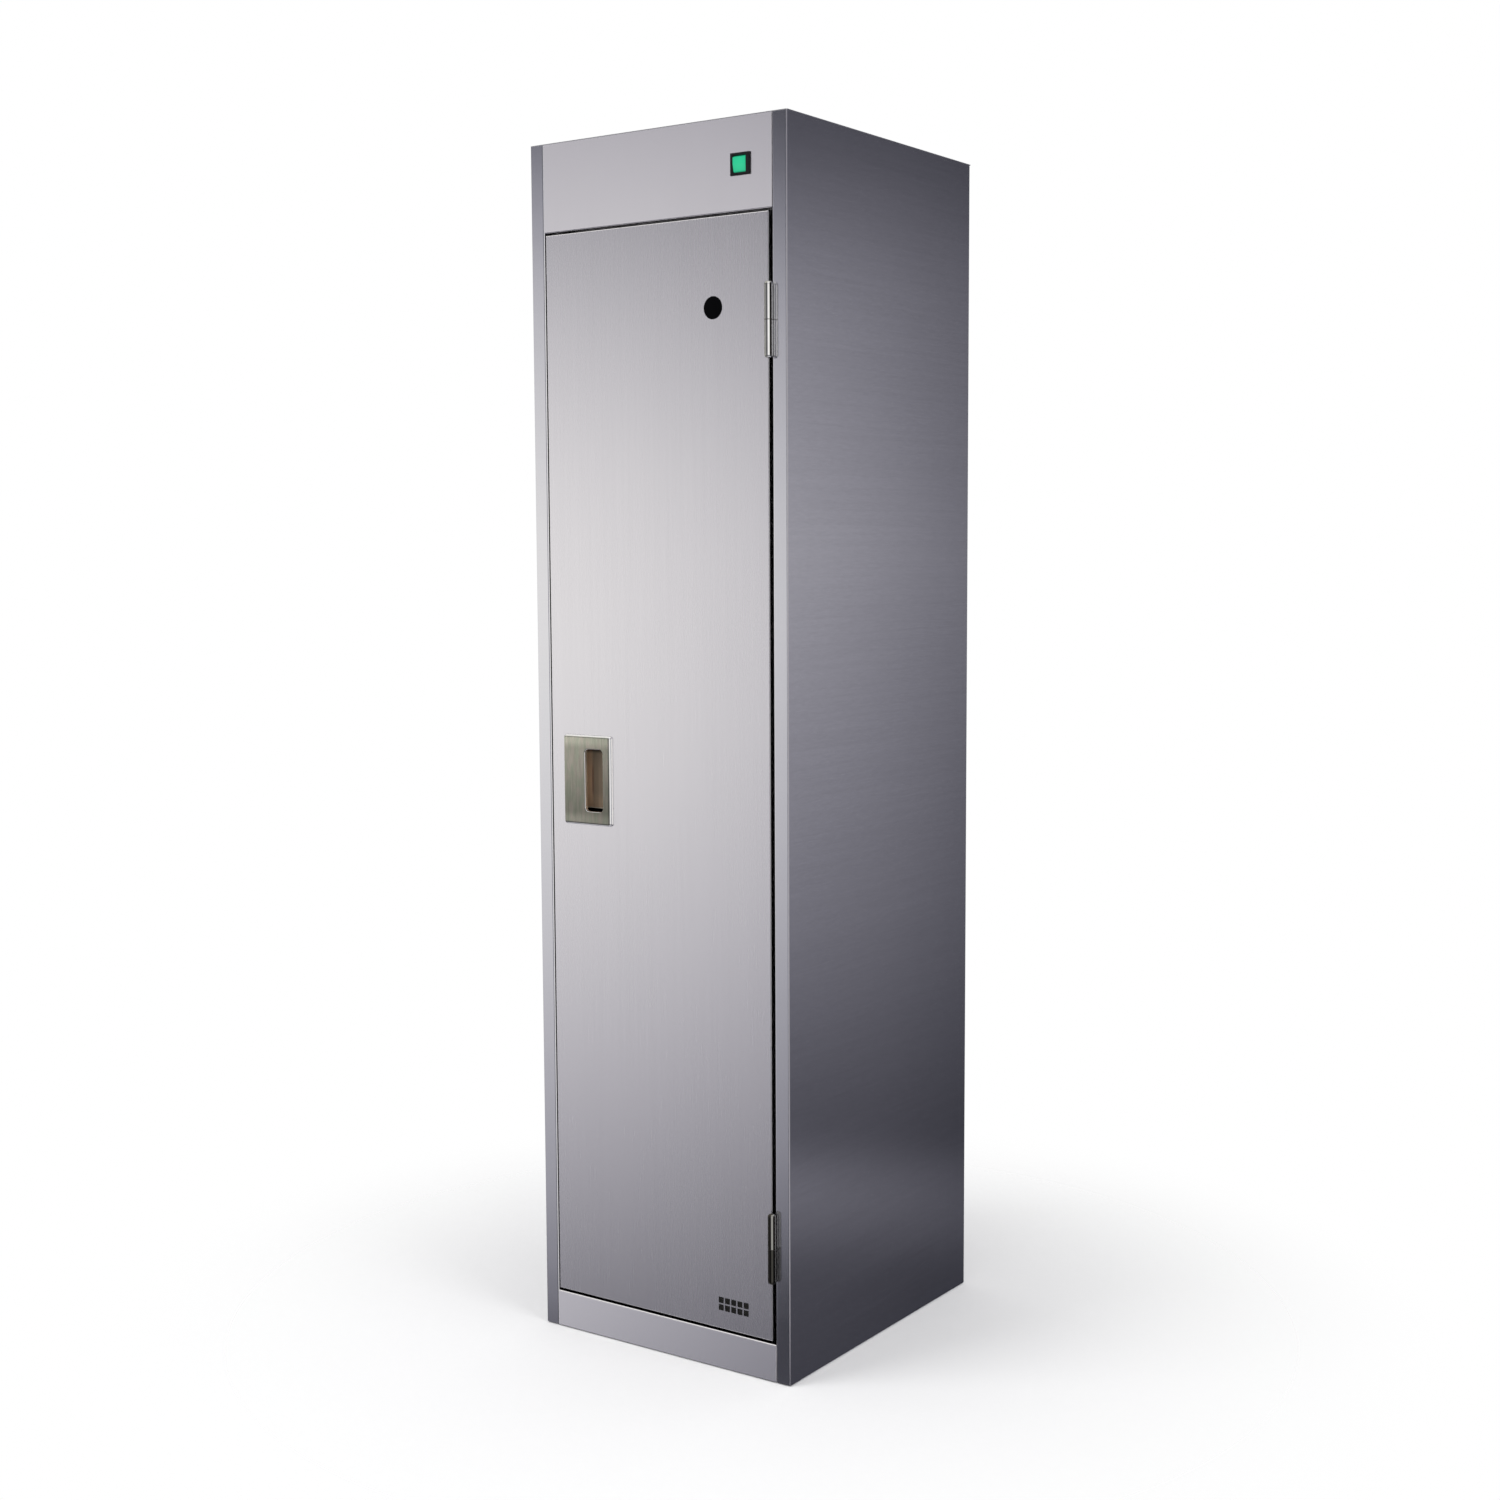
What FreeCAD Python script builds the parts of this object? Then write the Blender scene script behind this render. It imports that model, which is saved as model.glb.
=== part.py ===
import FreeCAD, Part
import math
import os
from types import SimpleNamespace

import Sketcher
from FreeCAD import Placement, Rotation, Vector

# Sterilizing locker: a tall stainless cabinet with one door, a germicidal lamp and an exhaust fan.
# Millimetres. +Z is up, the door faces -Y and hinges on its right, and the origin lies on the floor
# under the middle of the carcass.

SIZES = {
    # Carcass
    "width": 455,
    "depth": 515,
    "height": 1790,
    "gauge": 1.2,
    "bend_radius": 2.5,
    "stile_width": 25,
    "stop_depth": 32,
    "stop_width": 14,
    "rear_flange": 20,
    "header_height": 129,
    "header_flange": 15,
    "kick_height": 57,
    "floor_rise": 14,
    "panel_flange": 20,
    "roof_flange": 15,
    "roof_flange_setback": 45,
    "corner_plate_side": 60,
    "corner_plate_gauge": 3,
    "foot_pad_side": 40,
    "foot_pad_thickness": 2,
    # Seal and fasteners
    "seal_width": 10,
    "seal_clearance": 0.3,
    "screw_radius": 2,
    "screw_hole_clearance": 0.15,
    "screw_head_radius": 4,
    "screw_head_height": 2.4,
    "screw_reach": 2.4,
    "back_screw_end_inset": 40,
    # Back panel
    "exhaust_slot_length": 40,
    "exhaust_slot_height": 5,
    "exhaust_slot_pitch_across": 52,
    "exhaust_slot_pitch_down": 12,
    "exhaust_centre_drop": 60,
    "exhaust_inlet_gap": 20,
    "wall_hole_radius": 4.5,
    "wall_hole_spacing": 300,
    "wall_hole_drop": 25,
    # Door
    "latch_gap": 2.2,
    "hinge_gap": 5.8,
    "top_gap": 3,
    "bottom_gap": 4,
    "door_thickness": 28,
    "door_gauge": 1,
    "door_bend_radius": 1.5,
    "stiffener_width": 40,
    "stiffener_end_gap": 8,
    # Sight window
    "window_inset": 94.2,
    "window_drop": 125,
    "window_hole_radius": 16,
    "window_clearance": 0.2,
    "window_recess": 0.4,
    "window_flange_radius": 22,
    "window_thickness": 4,
    "window_sleeve_bore": 17,
    # Door vent
    "vent_inset": 41.6,
    "vent_rise": 27.5,
    "vent_hole": 8.9,
    "vent_pitch": 11.1,
    "filter_margin": 6,
    # Recessed pull
    "pull_inset": 24.3,
    "pull_centre_height": 855,
    "plate_width": 90,
    "plate_height": 135,
    "plate_proud": 5,
    "plate_corner": 5,
    "plate_edge": 4.4,
    "slot_width": 33,
    "slot_height": 93,
    "slot_corner": 6,
    "slot_lip": 1.4,
    "slot_shift": 13.4,
    "cup_width": 64,
    "cup_height": 106,
    "cup_depth": 22,
    "cup_wall": 1,
    "cup_corner": 10,
    "cup_clearance": 0.5,
    "stud_radius": 2,
    "stud_clearance": 0.15,
    "stud_length": 6,
    "stud_spacing_across": 78,
    "stud_spacing_up": 120,
    "nut_radius": 4,
    "nut_height": 3.2,
    "nut_clearance": 0.05,
    # Hinges
    "hinge_length": 104,
    "hinge_top_drop": 148,
    "hinge_bottom_rise": 139.5,
    "hinge_proud": 6.3,
    "barrel_radius": 6,
    "barrel_nose": 4.5,
    "hinge_set_in": 2,
    "hinge_leaf": 2,
    "hinge_leaf_reach": 26,
    "hinge_washer": 1,
    "hinge_pin_radius": 3,
    "hinge_pin_clearance": 0.05,
    "hinge_cap": 6,
    # Power switch
    "switch_inset": 51.8,
    "switch_drop": 65.3,
    "bezel_width": 31.6,
    "bezel_height": 30.6,
    "bezel_proud": 3.5,
    "bezel_corner": 1.5,
    "switch_body_width": 27,
    "switch_body_height": 28,
    "switch_body_depth": 24,
    "switch_body_clearance": 0.2,
    "rocker_width": 21,
    "rocker_radius": 11.4,
    "rocker_gap": 0.4,
    "rocker_pivot_depth": 3.5,
    "rocker_face_proud": 4,
    "rocker_back": 4,
    "rocker_tilt": 12,
    "rocker_well": 12,
    "rocker_axle_radius": 1.5,
    "rocker_axle_reach": 0.9,
    "rocker_axle_clearance": 0.05,
    "tab_width": 6.3,
    "tab_thickness": 0.8,
    "tab_length": 9,
    "tab_pitch_across": 16,
    "tab_pitch_up": 12,
    # Power inlet
    "inlet_inset": 77.5,
    "inlet_drop": 75,
    "inlet_flange_width": 31,
    "inlet_flange_height": 24,
    "inlet_flange_proud": 3,
    "inlet_body_width": 27,
    "inlet_body_height": 20,
    "inlet_body_depth": 20,
    "inlet_body_clearance": 0.2,
    "inlet_recess_width": 22.6,
    "inlet_recess_height": 15.4,
    "inlet_recess_depth": 16,
    "inlet_pin_pitch": 7,
    "inlet_pin_width": 2,
    "inlet_pin_height": 4,
    "inlet_pin_length": 13,
    # Exhaust fan
    "fan_offset_back": 40,
    "fan_side": 120,
    "fan_height": 38,
    "fan_bore_radius": 57,
    "fan_hole_spacing": 105,
    "fan_motor_radius": 20,
    "fan_motor_height": 12,
    "fan_strut_width": 6,
    "fan_strut_height": 5,
    "fan_hub_radius": 22,
    "fan_hub_gap": 0.6,
    "fan_tip_clearance": 3,
    "fan_blade_thickness": 1.6,
    "fan_blade_run": 18,
    "fan_shaft_radius": 2.5,
    "fan_shaft_clearance": 0.05,
    "fan_shaft_reach": 9,
    "guard_bar_width": 2.4,
    "guard_thickness": 2,
    "guard_drop": 4,
    "guard_ring_pitch": 17,
    "guard_post_radius": 2.5,
    "guard_post_inset": 4,
    # Germicidal lamp
    "lamp_drop": 461,
    "lamp_tube_radius": 12.75,
    "lamp_tube_wall": 1,
    "lamp_length": 438,
    "lamp_cap_radius": 13.3,
    "lamp_cap_length": 16,
    "lamp_cap_floor": 3,
    "lamp_fit_clearance": 0.05,
    "lamp_pin_radius": 1.2,
    "lamp_pin_length": 7,
    "lamp_pin_spacing": 12.7,
    "lamp_pin_clearance": 0.1,
    "lamp_standoff": 47,
    "lamp_holder_width": 24,
    "lamp_holder_thickness": 14,
    "lamp_holder_gap": 0.2,
    "lamp_base_width": 46,
    "lamp_base_depth": 22,
    "lamp_base_overhang": 20,
    "lamp_guard_radius": 26,
    "lamp_guard_wire_radius": 1.5,
    "lamp_guard_pitch": 110,
    # Hanger rail
    "rail_drop": 81,
    "rail_offset_back": 0,
    "rail_radius": 12.5,
    "rail_wall": 1.2,
    "rail_clearance": 0.05,
    "socket_flange_radius": 26,
    "socket_flange_thickness": 3,
    "socket_cup_radius": 17,
    "socket_cup_length": 16,
    "socket_end_gap": 0.5,
    # Lower shelf
    "shelf_height": 330,
    "shelf_side_gap": 2,
    "shelf_front_setback": 30,
    "shelf_back_gap": 4,
    "shelf_lip": 22,
    "shelf_slot_width": 12,
    "shelf_slot_length": 100,
    "shelf_slot_pitch_across": 48,
    "shelf_slot_pitch_back": 150,
    "clip_width": 30,
    "clip_reach": 12,
    "clip_height": 14,
    "clip_inset": 90,
    # Catches and interlock
    "catch_length": 46,
    "catch_width": 15,
    "catch_depth": 24,
    "catch_ear": 2.5,
    "catch_air_gap": 0.3,
    "catch_edge_gap": 0.2,
    "catch_end_inset": 260,
    "strike_length": 40,
    "strike_width": 14,
    "strike_thickness": 1.5,
    "interlock_inset": 60,
    "interlock_width": 24,
    "interlock_depth": 30,
    "interlock_height": 26,
    "plunger_radius": 3,
    "plunger_clearance": 0.05,
    "plunger_drop": 6,
    "plunger_air_gap": 0.3,
    "plunger_length": 24,
    "plunger_end_gap": 1,
    "plunger_tip_round": 1,
    # Electrical bay
    "ballast_inset": 86.3,
    "ballast_offset_back": -60,
    "ballast_width": 42,
    "ballast_length": 150,
    "ballast_height": 30,
    "ballast_foot": 10,
    "ballast_foot_thickness": 1.5,
    "terminal_inset": 76.3,
    "terminal_offset_back": 150,
    "terminal_width": 66,
    "terminal_depth": 22,
    "terminal_height": 18,
    "terminal_pitch": 11,
    "terminal_screw_radius": 3.2,
    "terminal_screw_depth": 6,
    "timer_inset": 76.3,
    "timer_offset_back": -80,
    "timer_width": 46,
    "timer_depth": 70,
    "timer_height": 55,
    "timer_base_margin": 5,
    "timer_base_thickness": 4,
    "lead_radius": 3,
    "lead_bend": 14,
    "lead_hole_clearance": 1,
    "lead_lane_side_gap": 40,
    "lead_lane_back_gap": 18,
    "lead_lane_wall_gap": 21.3,
    "lead_lane_height": 38,
    "lead_step": 34,
    "fan_lead_run": 85,
    "lamp_lead_climb": 85,
    "lamp_lead_run": 170,
    "lead_tail": 25,
    "switch_plug_side": 22,
    "switch_plug_depth": 14,
}

# How many of each repeated feature, and turns in degrees
VENT_COLUMNS = 5
VENT_ROWS = 2
BACK_SCREW_ROWS = 5
EXHAUST_COLUMNS = 4
EXHAUST_ROWS = 5
FAN_BLADES = 7
GUARD_RINGS = 3
LAMP_GUARD_HOOPS = 4
SHELF_SLOT_COLUMNS = 8
SHELF_SLOT_ROWS = 3
TERMINAL_WAYS = 6
SWITCH_LEAD_WAYS = 2
NUT_SIDES = 6
HALF_TURN = 180
WHOLE_TURN = 360


class Size:
    """A size, or arithmetic on sizes: its expression in the sheet and what it comes to there."""

    def __init__(self, text, value):
        self.text = text
        self.value = value

    def __str__(self):
        return self.text

    def __float__(self):
        return float(self.value)

    def __neg__(self):
        return -1 * self

    def __add__(self, other):
        return Size(f"({self} + {other})", float(self) + float(other))

    def __radd__(self, other):
        return Size(f"({other} + {self})", float(other) + float(self))

    def __sub__(self, other):
        return Size(f"({self} - {other})", float(self) - float(other))

    def __rsub__(self, other):
        return Size(f"({other} - {self})", float(other) - float(self))

    def __mul__(self, other):
        return Size(f"({self} * {other})", float(self) * float(other))

    def __rmul__(self, other):
        return Size(f"({other} * {self})", float(other) * float(self))

    def __truediv__(self, other):
        return Size(f"({self} / {other})", float(self) / float(other))


def tangent(angle):
    """The tangent of an angle kept in degrees."""
    return Size(f"tan({angle} * 1 deg)", math.tan(math.radians(float(angle))))


doc = FreeCAD.newDocument("sterilizing_locker")
sheet = doc.addObject("Spreadsheet::Sheet", "Sizes")
for row, (alias, size) in enumerate(SIZES.items(), start=1):
    sheet.set(f"A{row}", alias)
    sheet.set(f"B{row}", str(size))
    sheet.setAlias(f"B{row}", alias)
doc.recompute()
S = SimpleNamespace(**{alias: Size(f"Sizes.{alias}", sheet.get(alias)) for alias in SIZES})

# Spans and rows of places

def about(centre, size):
    """The span of a size laid evenly about a centre."""
    return centre - size / 2, centre + size / 2


def both(half):
    """The span from minus a half width to plus it."""
    return -half, half


def row_of(count, centre, pitch):
    """Evenly spaced places about a centre."""
    return [centre + (i - (count - 1) / 2) * pitch for i in range(count)]


# Places worked out from the sizes

FRONT = -S.depth / 2
BACK = S.depth / 2
REAR = S.depth / 2 - S.gauge
SIDE = S.width / 2
WALL = S.width / 2 - S.gauge
OPENING = S.width / 2 - S.stile_width
STOP = -S.depth / 2 + S.stop_depth
STOP_BACK = -S.depth / 2 + S.stop_depth + S.gauge
STOP_EDGE = S.width / 2 - S.stile_width - S.stop_width
INSIDE_BACK = S.depth / 2 - 2 * S.gauge - S.bend_radius
ROOF = S.height - S.gauge
HEADER = S.height - S.header_height
BAY_FLOOR = S.height - S.header_height + S.gauge
FLOOR = S.kick_height + S.floor_rise
DOOR_LEFT = -S.width / 2 + S.stile_width + S.latch_gap
DOOR_RIGHT = S.width / 2 - S.stile_width - S.hinge_gap
DOOR_TOP = S.height - S.header_height - S.top_gap
DOOR_BOTTOM = S.kick_height + S.bottom_gap
DOOR_SKIN = -S.depth / 2 + S.door_gauge
DOOR_LINER = -S.depth / 2 + S.door_thickness - S.door_gauge
DOOR_BACK = -S.depth / 2 + S.door_thickness
WINDOW_X = S.width / 2 - S.stile_width - S.hinge_gap - S.window_inset
WINDOW_Z = S.height - S.header_height - S.top_gap - S.window_drop
PULL_X = -S.width / 2 + S.stile_width + S.latch_gap + S.pull_inset + S.plate_width / 2
PULL_Z = S.pull_centre_height
HINGE_X = S.width / 2 - S.stile_width - S.hinge_set_in
HINGE_Y = -S.depth / 2 - S.hinge_proud
UPPER_HINGE_Z = S.height - S.header_height - S.top_gap - S.hinge_top_drop
LOWER_HINGE_Z = S.kick_height + S.bottom_gap + S.hinge_bottom_rise
SWITCH_X = S.width / 2 - S.stile_width - S.switch_inset
SWITCH_Z = S.height - S.switch_drop
ROCKER_Y = -S.depth / 2 + S.rocker_pivot_depth
INLET_X = -S.width / 2 + S.inlet_inset
INLET_Z = S.height - S.inlet_drop
EXHAUST_WIDTH = S.exhaust_slot_length + (EXHAUST_COLUMNS - 1) * S.exhaust_slot_pitch_across
EXHAUST_X = INLET_X + S.inlet_flange_width / 2 + S.exhaust_inlet_gap + EXHAUST_WIDTH / 2
EXHAUST_Z = S.height - S.exhaust_centre_drop
BACK_SCREW_X = S.width / 2 - S.rear_flange / 2
BACK_SCREW_LOW = S.foot_pad_thickness + S.back_screw_end_inset
BACK_SCREW_PITCH = (ROOF - S.foot_pad_thickness - 2 * S.back_screw_end_inset) / (BACK_SCREW_ROWS - 1)
BACK_SCREW_PLACES = [(BACK_SCREW_LOW + i * BACK_SCREW_PITCH) for i in range(BACK_SCREW_ROWS)]
PULL_STUDS = [
    (PULL_X + i * S.stud_spacing_across / 2, PULL_Z + j * S.stud_spacing_up / 2)
    for i in (-1, 1) for j in (-1, 1)
]
CATCH_PLACES = [DOOR_TOP - S.catch_end_inset, DOOR_BOTTOM + S.catch_end_inset]
CATCH_X = (S.catch_edge_gap - STOP_EDGE, S.catch_edge_gap + S.catch_width - STOP_EDGE)
FAN_TOP = S.height - S.header_height + S.gauge + S.fan_height
FAN_HOLES = [
    (i * S.fan_hole_spacing / 2, S.fan_offset_back + j * S.fan_hole_spacing / 2)
    for i in (-1, 1) for j in (-1, 1)
]
LAMP_Y = S.depth / 2 - S.gauge - S.lamp_standoff
LAMP_Z = S.height - S.header_height - S.lamp_drop
LAMP_AXIS = (0, LAMP_Y)
LAMP_LOW, LAMP_HIGH = about(LAMP_Z, S.lamp_length)
LAMP_ENDS = [(LAMP_LOW, -1), (LAMP_HIGH, 1)]
LAMP_BASE_FRONT = S.depth / 2 - S.gauge - S.lamp_base_depth
LAMP_BASE_SPAN = (
    (LAMP_LOW - S.lamp_holder_thickness - S.lamp_base_overhang),
    (LAMP_HIGH + S.lamp_holder_thickness + S.lamp_base_overhang),
)
RAIL_Z = S.height - S.header_height - S.rail_drop
SHELF_HALF = WALL - S.shelf_side_gap
SHELF_FRONT = STOP_BACK + S.shelf_front_setback
SHELF_BACK = INSIDE_BACK - S.shelf_back_gap
PLUNGER_X = -S.width / 2 + S.stile_width + S.stop_width + S.interlock_inset
PLUNGER_Z = S.height - S.header_height - S.stop_width - S.plunger_drop
PLUNGER_TIP = -S.depth / 2 + S.door_thickness + S.plunger_air_gap
BALLAST_X = S.ballast_inset - WALL
TERMINAL_X = S.terminal_inset - WALL
TERMINAL_Z = BAY_FLOOR + S.terminal_height / 2
TIMER_X = WALL - S.timer_inset
SIDE_LANE = S.fan_side / 2 + S.lead_lane_side_gap
BACK_LANE = S.fan_offset_back + S.fan_side / 2 + S.lead_lane_back_gap
WALL_LANE = S.lead_lane_wall_gap - WALL
LANE_Z = BAY_FLOOR + S.lead_lane_height
LAMP_LEAD = (0, REAR - S.lamp_base_depth / 2)
INTERLOCK_LEAD = (PLUNGER_X, STOP_BACK + S.interlock_depth / 2)

AXES = "xyz"
PLANES = {"x": "YZ_Plane", "y": "XZ_Plane", "z": "XY_Plane"}
TURNS = {"x": Rotation(Vector(0, 1, 0), 90), "y": Rotation(Vector(1, 0, 0), -90), "z": Rotation()}
ALIGNED = 1e-4


# Solids from primitives

def box(name, x, y, z):
    """A plain block, from its low and high place along each axis."""
    made = doc.addObject("Part::Box", name)
    for side, letter, (low, high) in zip(("Length", "Width", "Height"), AXES, (x, y, z)):
        made.setExpression(side, str(high - low))
        made.setExpression(f"Placement.Base.{letter}", str(low))
    return made


def rod(name, axis, centre, span, radius):
    """A round bar along an axis. The centre is its place on the other two axes, in their order."""
    made = doc.addObject("Part::Cylinder", name)
    made.Placement = Placement(Vector(), TURNS[axis])
    others = [letter for letter in AXES if letter != axis]
    for letter, place in [(axis, span[0]), *zip(others, centre)]:
        made.setExpression(f"Placement.Base.{letter}", str(place))
    made.setExpression("Radius", str(radius))
    made.setExpression("Height", str(span[1] - span[0]))
    return made


def ring(name, centre, radius, wire, start, sweep):
    """A wire ring square to Z, or an arc of one, from a starting angle on."""
    made = doc.addObject("Part::Torus", name)
    made.Placement = Placement(Vector(), Rotation(Vector(0, 0, 1), start))
    for letter, place in zip(AXES, centre):
        made.setExpression(f"Placement.Base.{letter}", str(place))
    made.setExpression("Radius1", str(radius))
    made.setExpression("Radius2", str(wire))
    made.Angle3 = sweep
    return made


def join(name, *solids):
    """One solid from several that meet."""
    made = doc.addObject("Part::MultiFuse", name)
    made.Shapes = list(solids)
    return made


def cut(name, base, *tools):
    """A solid with others taken out of it."""
    made = doc.addObject("Part::Cut", name)
    made.Base = base
    made.Tool = tools[0] if len(tools) == 1 else group(f"{name}_cutters", *tools)
    return made


def group(name, *solids):
    """Separate solids kept in one node."""
    made = doc.addObject("Part::Compound", name)
    made.Links = list(solids)
    return made


def tube(name, axis, centre, span, radius, bore):
    """A round bar with a round hole right through it."""
    return cut(
        name,
        rod(f"{name}_outside", axis, centre, span, radius),
        rod(f"{name}_bore", axis, centre, span, bore),
    )


# Solids from sketches

def body(name):
    """An empty body."""
    return doc.addObject("PartDesign::Body", name)


def polygon(*points):
    """A drawing of a closed outline through points, each bound to the sizes."""
    def draw(drawn):
        first = drawn.GeometryCount
        places = [Vector(float(u), float(v), 0) for u, v in points]
        for start, end in zip(places, places[1:] + places[:1]):
            drawn.addGeometry(Part.LineSegment(start, end), False)
        for i, (point, place) in enumerate(zip(points, places)):
            line, following = first + i, first + (i + 1) % len(points)
            drawn.addConstraint(Sketcher.Constraint("Coincident", line, 2, following, 1))
            for kind, text, at in zip(("DistanceX", "DistanceY"), point, place):
                made = drawn.addConstraint(Sketcher.Constraint(kind, -1, 1, line, 1, at))
                drawn.setExpression(f"Constraints[{made}]", str(text))
    return draw


def rectangle(u, v):
    """A drawing of a rectangle between two places each way."""
    return polygon((u[0], v[0]), (u[1], v[0]), (u[1], v[1]), (u[0], v[1]))


def circle(u, v, radius):
    """A drawing of a circle bound to the sizes."""
    def draw(drawn):
        centre = Vector(float(u), float(v), 0)
        made = drawn.addGeometry(Part.Circle(centre, Vector(0, 0, 1), float(radius)), False)
        for kind, text, at in (("DistanceX", u, centre.x), ("DistanceY", v, centre.y)):
            place = drawn.addConstraint(Sketcher.Constraint(kind, -1, 1, made, 3, at))
            drawn.setExpression(f"Constraints[{place}]", str(text))
        size = drawn.addConstraint(Sketcher.Constraint("Radius", made, float(radius)))
        drawn.setExpression(f"Constraints[{size}]", str(radius))
    return draw


def sketch(owner, name, axis, place, drawings):
    """A sketch of some drawings, square to an axis of the body, at a place along that axis."""
    made = owner.newObject("Sketcher::SketchObject", name)
    plane = next(p for p in owner.Origin.OriginFeatures if p.Role == PLANES[axis])
    made.AttachmentSupport = (plane, [""])
    made.MapMode = "FlatFace"
    towards = -1 if axis == "y" else 1
    made.setExpression("AttachmentOffset.Base.z", str(towards * place))
    for draw in drawings:
        draw(made)
    return made


def pad(owner, name, axis, span, *drawings):
    """Adds material to a body between two places along an axis."""
    low, high = span
    drawn = sketch(owner, f"{name}_sketch", axis, high if axis == "y" else low, drawings)
    made = owner.newObject("PartDesign::Pad", name)
    made.Profile = drawn
    made.setExpression("Length", str(high - low))
    doc.recompute()
    return made


def pocket(owner, name, axis, span, *drawings):
    """Takes material out of a body between two places along an axis."""
    low, high = span
    before = owner.Shape.Volume
    drawn = sketch(owner, f"{name}_sketch", axis, low if axis == "y" else high, drawings)
    made = owner.newObject("PartDesign::Pocket", name)
    made.Profile = drawn
    made.setExpression("Length", str(high - low))
    doc.recompute()
    if not owner.Shape.Volume < before:
        raise ValueError(f"{name} takes nothing out of {owner.Label}")
    return made


def edges_on(owner, axis, corners):
    """The names of a body's straight edges along an axis that stand on given corners."""
    across = [i for i, letter in enumerate(AXES) if letter != axis]
    wanted = [(float(u), float(v)) for u, v in corners]
    found = []
    for i, edge in enumerate(owner.Tip.Shape.Edges, start=1):
        ends = [vertex.Point for vertex in edge.Vertexes]
        if len(ends) == 2 and isinstance(edge.Curve, Part.Line) and any(
            all(abs(end[k] - at) < ALIGNED for end in ends for k, at in zip(across, corner))
            for corner in wanted
        ):
            found.append(f"Edge{i}")
    if not found:
        raise ValueError(f"{owner.Label} has no edge along {axis} at {wanted}")
    return found


def rim_edges(owner, axis, place, low=None, high=None):
    """The names of a body's edges that lie flat at a place along an axis, within a box across it."""
    k = AXES.index(axis)
    across = [i for i in range(3) if i != k]
    found = []
    for i, edge in enumerate(owner.Tip.Shape.Edges, start=1):
        bounds = edge.BoundBox
        lows = (bounds.XMin, bounds.YMin, bounds.ZMin)
        highs = (bounds.XMax, bounds.YMax, bounds.ZMax)
        flat = abs(lows[k] - float(place)) < ALIGNED and abs(highs[k] - float(place)) < ALIGNED
        inside = low is None or all(
            float(a) - ALIGNED < lows[c] and highs[c] < float(b) + ALIGNED
            for c, a, b in zip(across, low, high)
        )
        if flat and inside:
            found.append(f"Edge{i}")
    return found


def round_off(owner, name, radius, edges):
    """Rounds edges of a body."""
    made = owner.newObject("PartDesign::Fillet", name)
    made.Base = (owner.Tip if owner.Tip != made else made.BaseFeature, edges)
    made.setExpression("Radius", str(radius))
    doc.recompute()
    return made


# Carcass

def side_panel(name, hand):
    """A side, its stile, the reveal and stop that the door closes on, and its rear flange, bent in one."""
    def across(text):
        return hand * text

    flange, web = SIDE - S.rear_flange, OPENING + S.gauge
    made = body(name)
    pad(made, f"{name}_bends", "z", (S.foot_pad_thickness, ROOF), polygon(
        (across(flange), REAR),
        (across(SIDE), REAR),
        (across(SIDE), FRONT),
        (across(OPENING), FRONT),
        (across(OPENING), STOP),
        (across(STOP_EDGE), STOP),
        (across(STOP_EDGE), STOP_BACK),
        (across(web), STOP_BACK),
        (across(web), FRONT + S.gauge),
        (across(WALL), FRONT + S.gauge),
        (across(WALL), REAR - S.gauge),
        (across(flange), REAR - S.gauge),
    ))
    outside = [(SIDE, REAR), (SIDE, FRONT), (OPENING, FRONT), (web, STOP_BACK)]
    inside = [(WALL, REAR - S.gauge), (WALL, FRONT + S.gauge), (web, FRONT + S.gauge), (OPENING, STOP)]
    layers = (("outer", S.bend_radius, outside), ("inner", S.bend_radius - S.gauge, inside))
    for layer, radius, corners in layers:
        corners = [(across(x), y) for x, y in corners]
        round_off(made, f"{name}_{layer}_bends", radius, edges_on(made, "z", corners))
    hole = S.screw_radius + S.screw_hole_clearance
    holes = [circle(across(BACK_SCREW_X), z, hole) for z in BACK_SCREW_PLACES]
    pocket(made, f"{name}_screw_holes", "y", (REAR - S.gauge, REAR), *holes)
    return made


def back_panel():
    """The flat back, with the exhaust slots, the inlet cut-out, the wall holes and its own screw holes."""
    half = SIDE - S.bend_radius
    made = body("back_panel")
    pad(made, "back_sheet", "y", (REAR, BACK), rectangle(both(half), (S.foot_pad_thickness, ROOF)))
    slots = [
        rectangle(about(x, S.exhaust_slot_length), about(z, S.exhaust_slot_height))
        for x in row_of(EXHAUST_COLUMNS, EXHAUST_X, S.exhaust_slot_pitch_across)
        for z in row_of(EXHAUST_ROWS, EXHAUST_Z, S.exhaust_slot_pitch_down)
    ]
    pocket(made, "exhaust_slots", "y", (REAR, BACK), *slots)
    pocket(made, "inlet_cutout", "y", (REAR, BACK), rectangle(
        about(INLET_X, S.inlet_body_width + 2 * S.inlet_body_clearance),
        about(INLET_Z, S.inlet_body_height + 2 * S.inlet_body_clearance),
    ))
    wall_z = S.height - S.wall_hole_drop
    wall = [circle(hand * S.wall_hole_spacing / 2, wall_z, S.wall_hole_radius) for hand in (-1, 1)]
    screws = [
        circle(hand * BACK_SCREW_X, z, S.screw_radius + S.screw_hole_clearance)
        for hand in (-1, 1) for z in BACK_SCREW_PLACES
    ]
    pocket(made, "back_holes", "y", (REAR, BACK), *wall, *screws)
    return made


def back_panel_screws():
    """Pan-head screws through the back panel into the side panels' rear flanges."""
    screws = []
    for hand in (-1, 1):
        for i, z in enumerate(BACK_SCREW_PLACES):
            name = f"back_screw_{'left' if hand < 0 else 'right'}_{i}"
            centre = (hand * BACK_SCREW_X, z)
            head = rod(f"{name}_head", "y", centre, (BACK, BACK + S.screw_head_height), S.screw_head_radius)
            shank = rod(f"{name}_shank", "y", centre, (REAR - S.gauge - S.screw_reach, BACK), S.screw_radius)
            screws.append(join(name, head, shank))
    return group("back_panel_screws", *screws)


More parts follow.
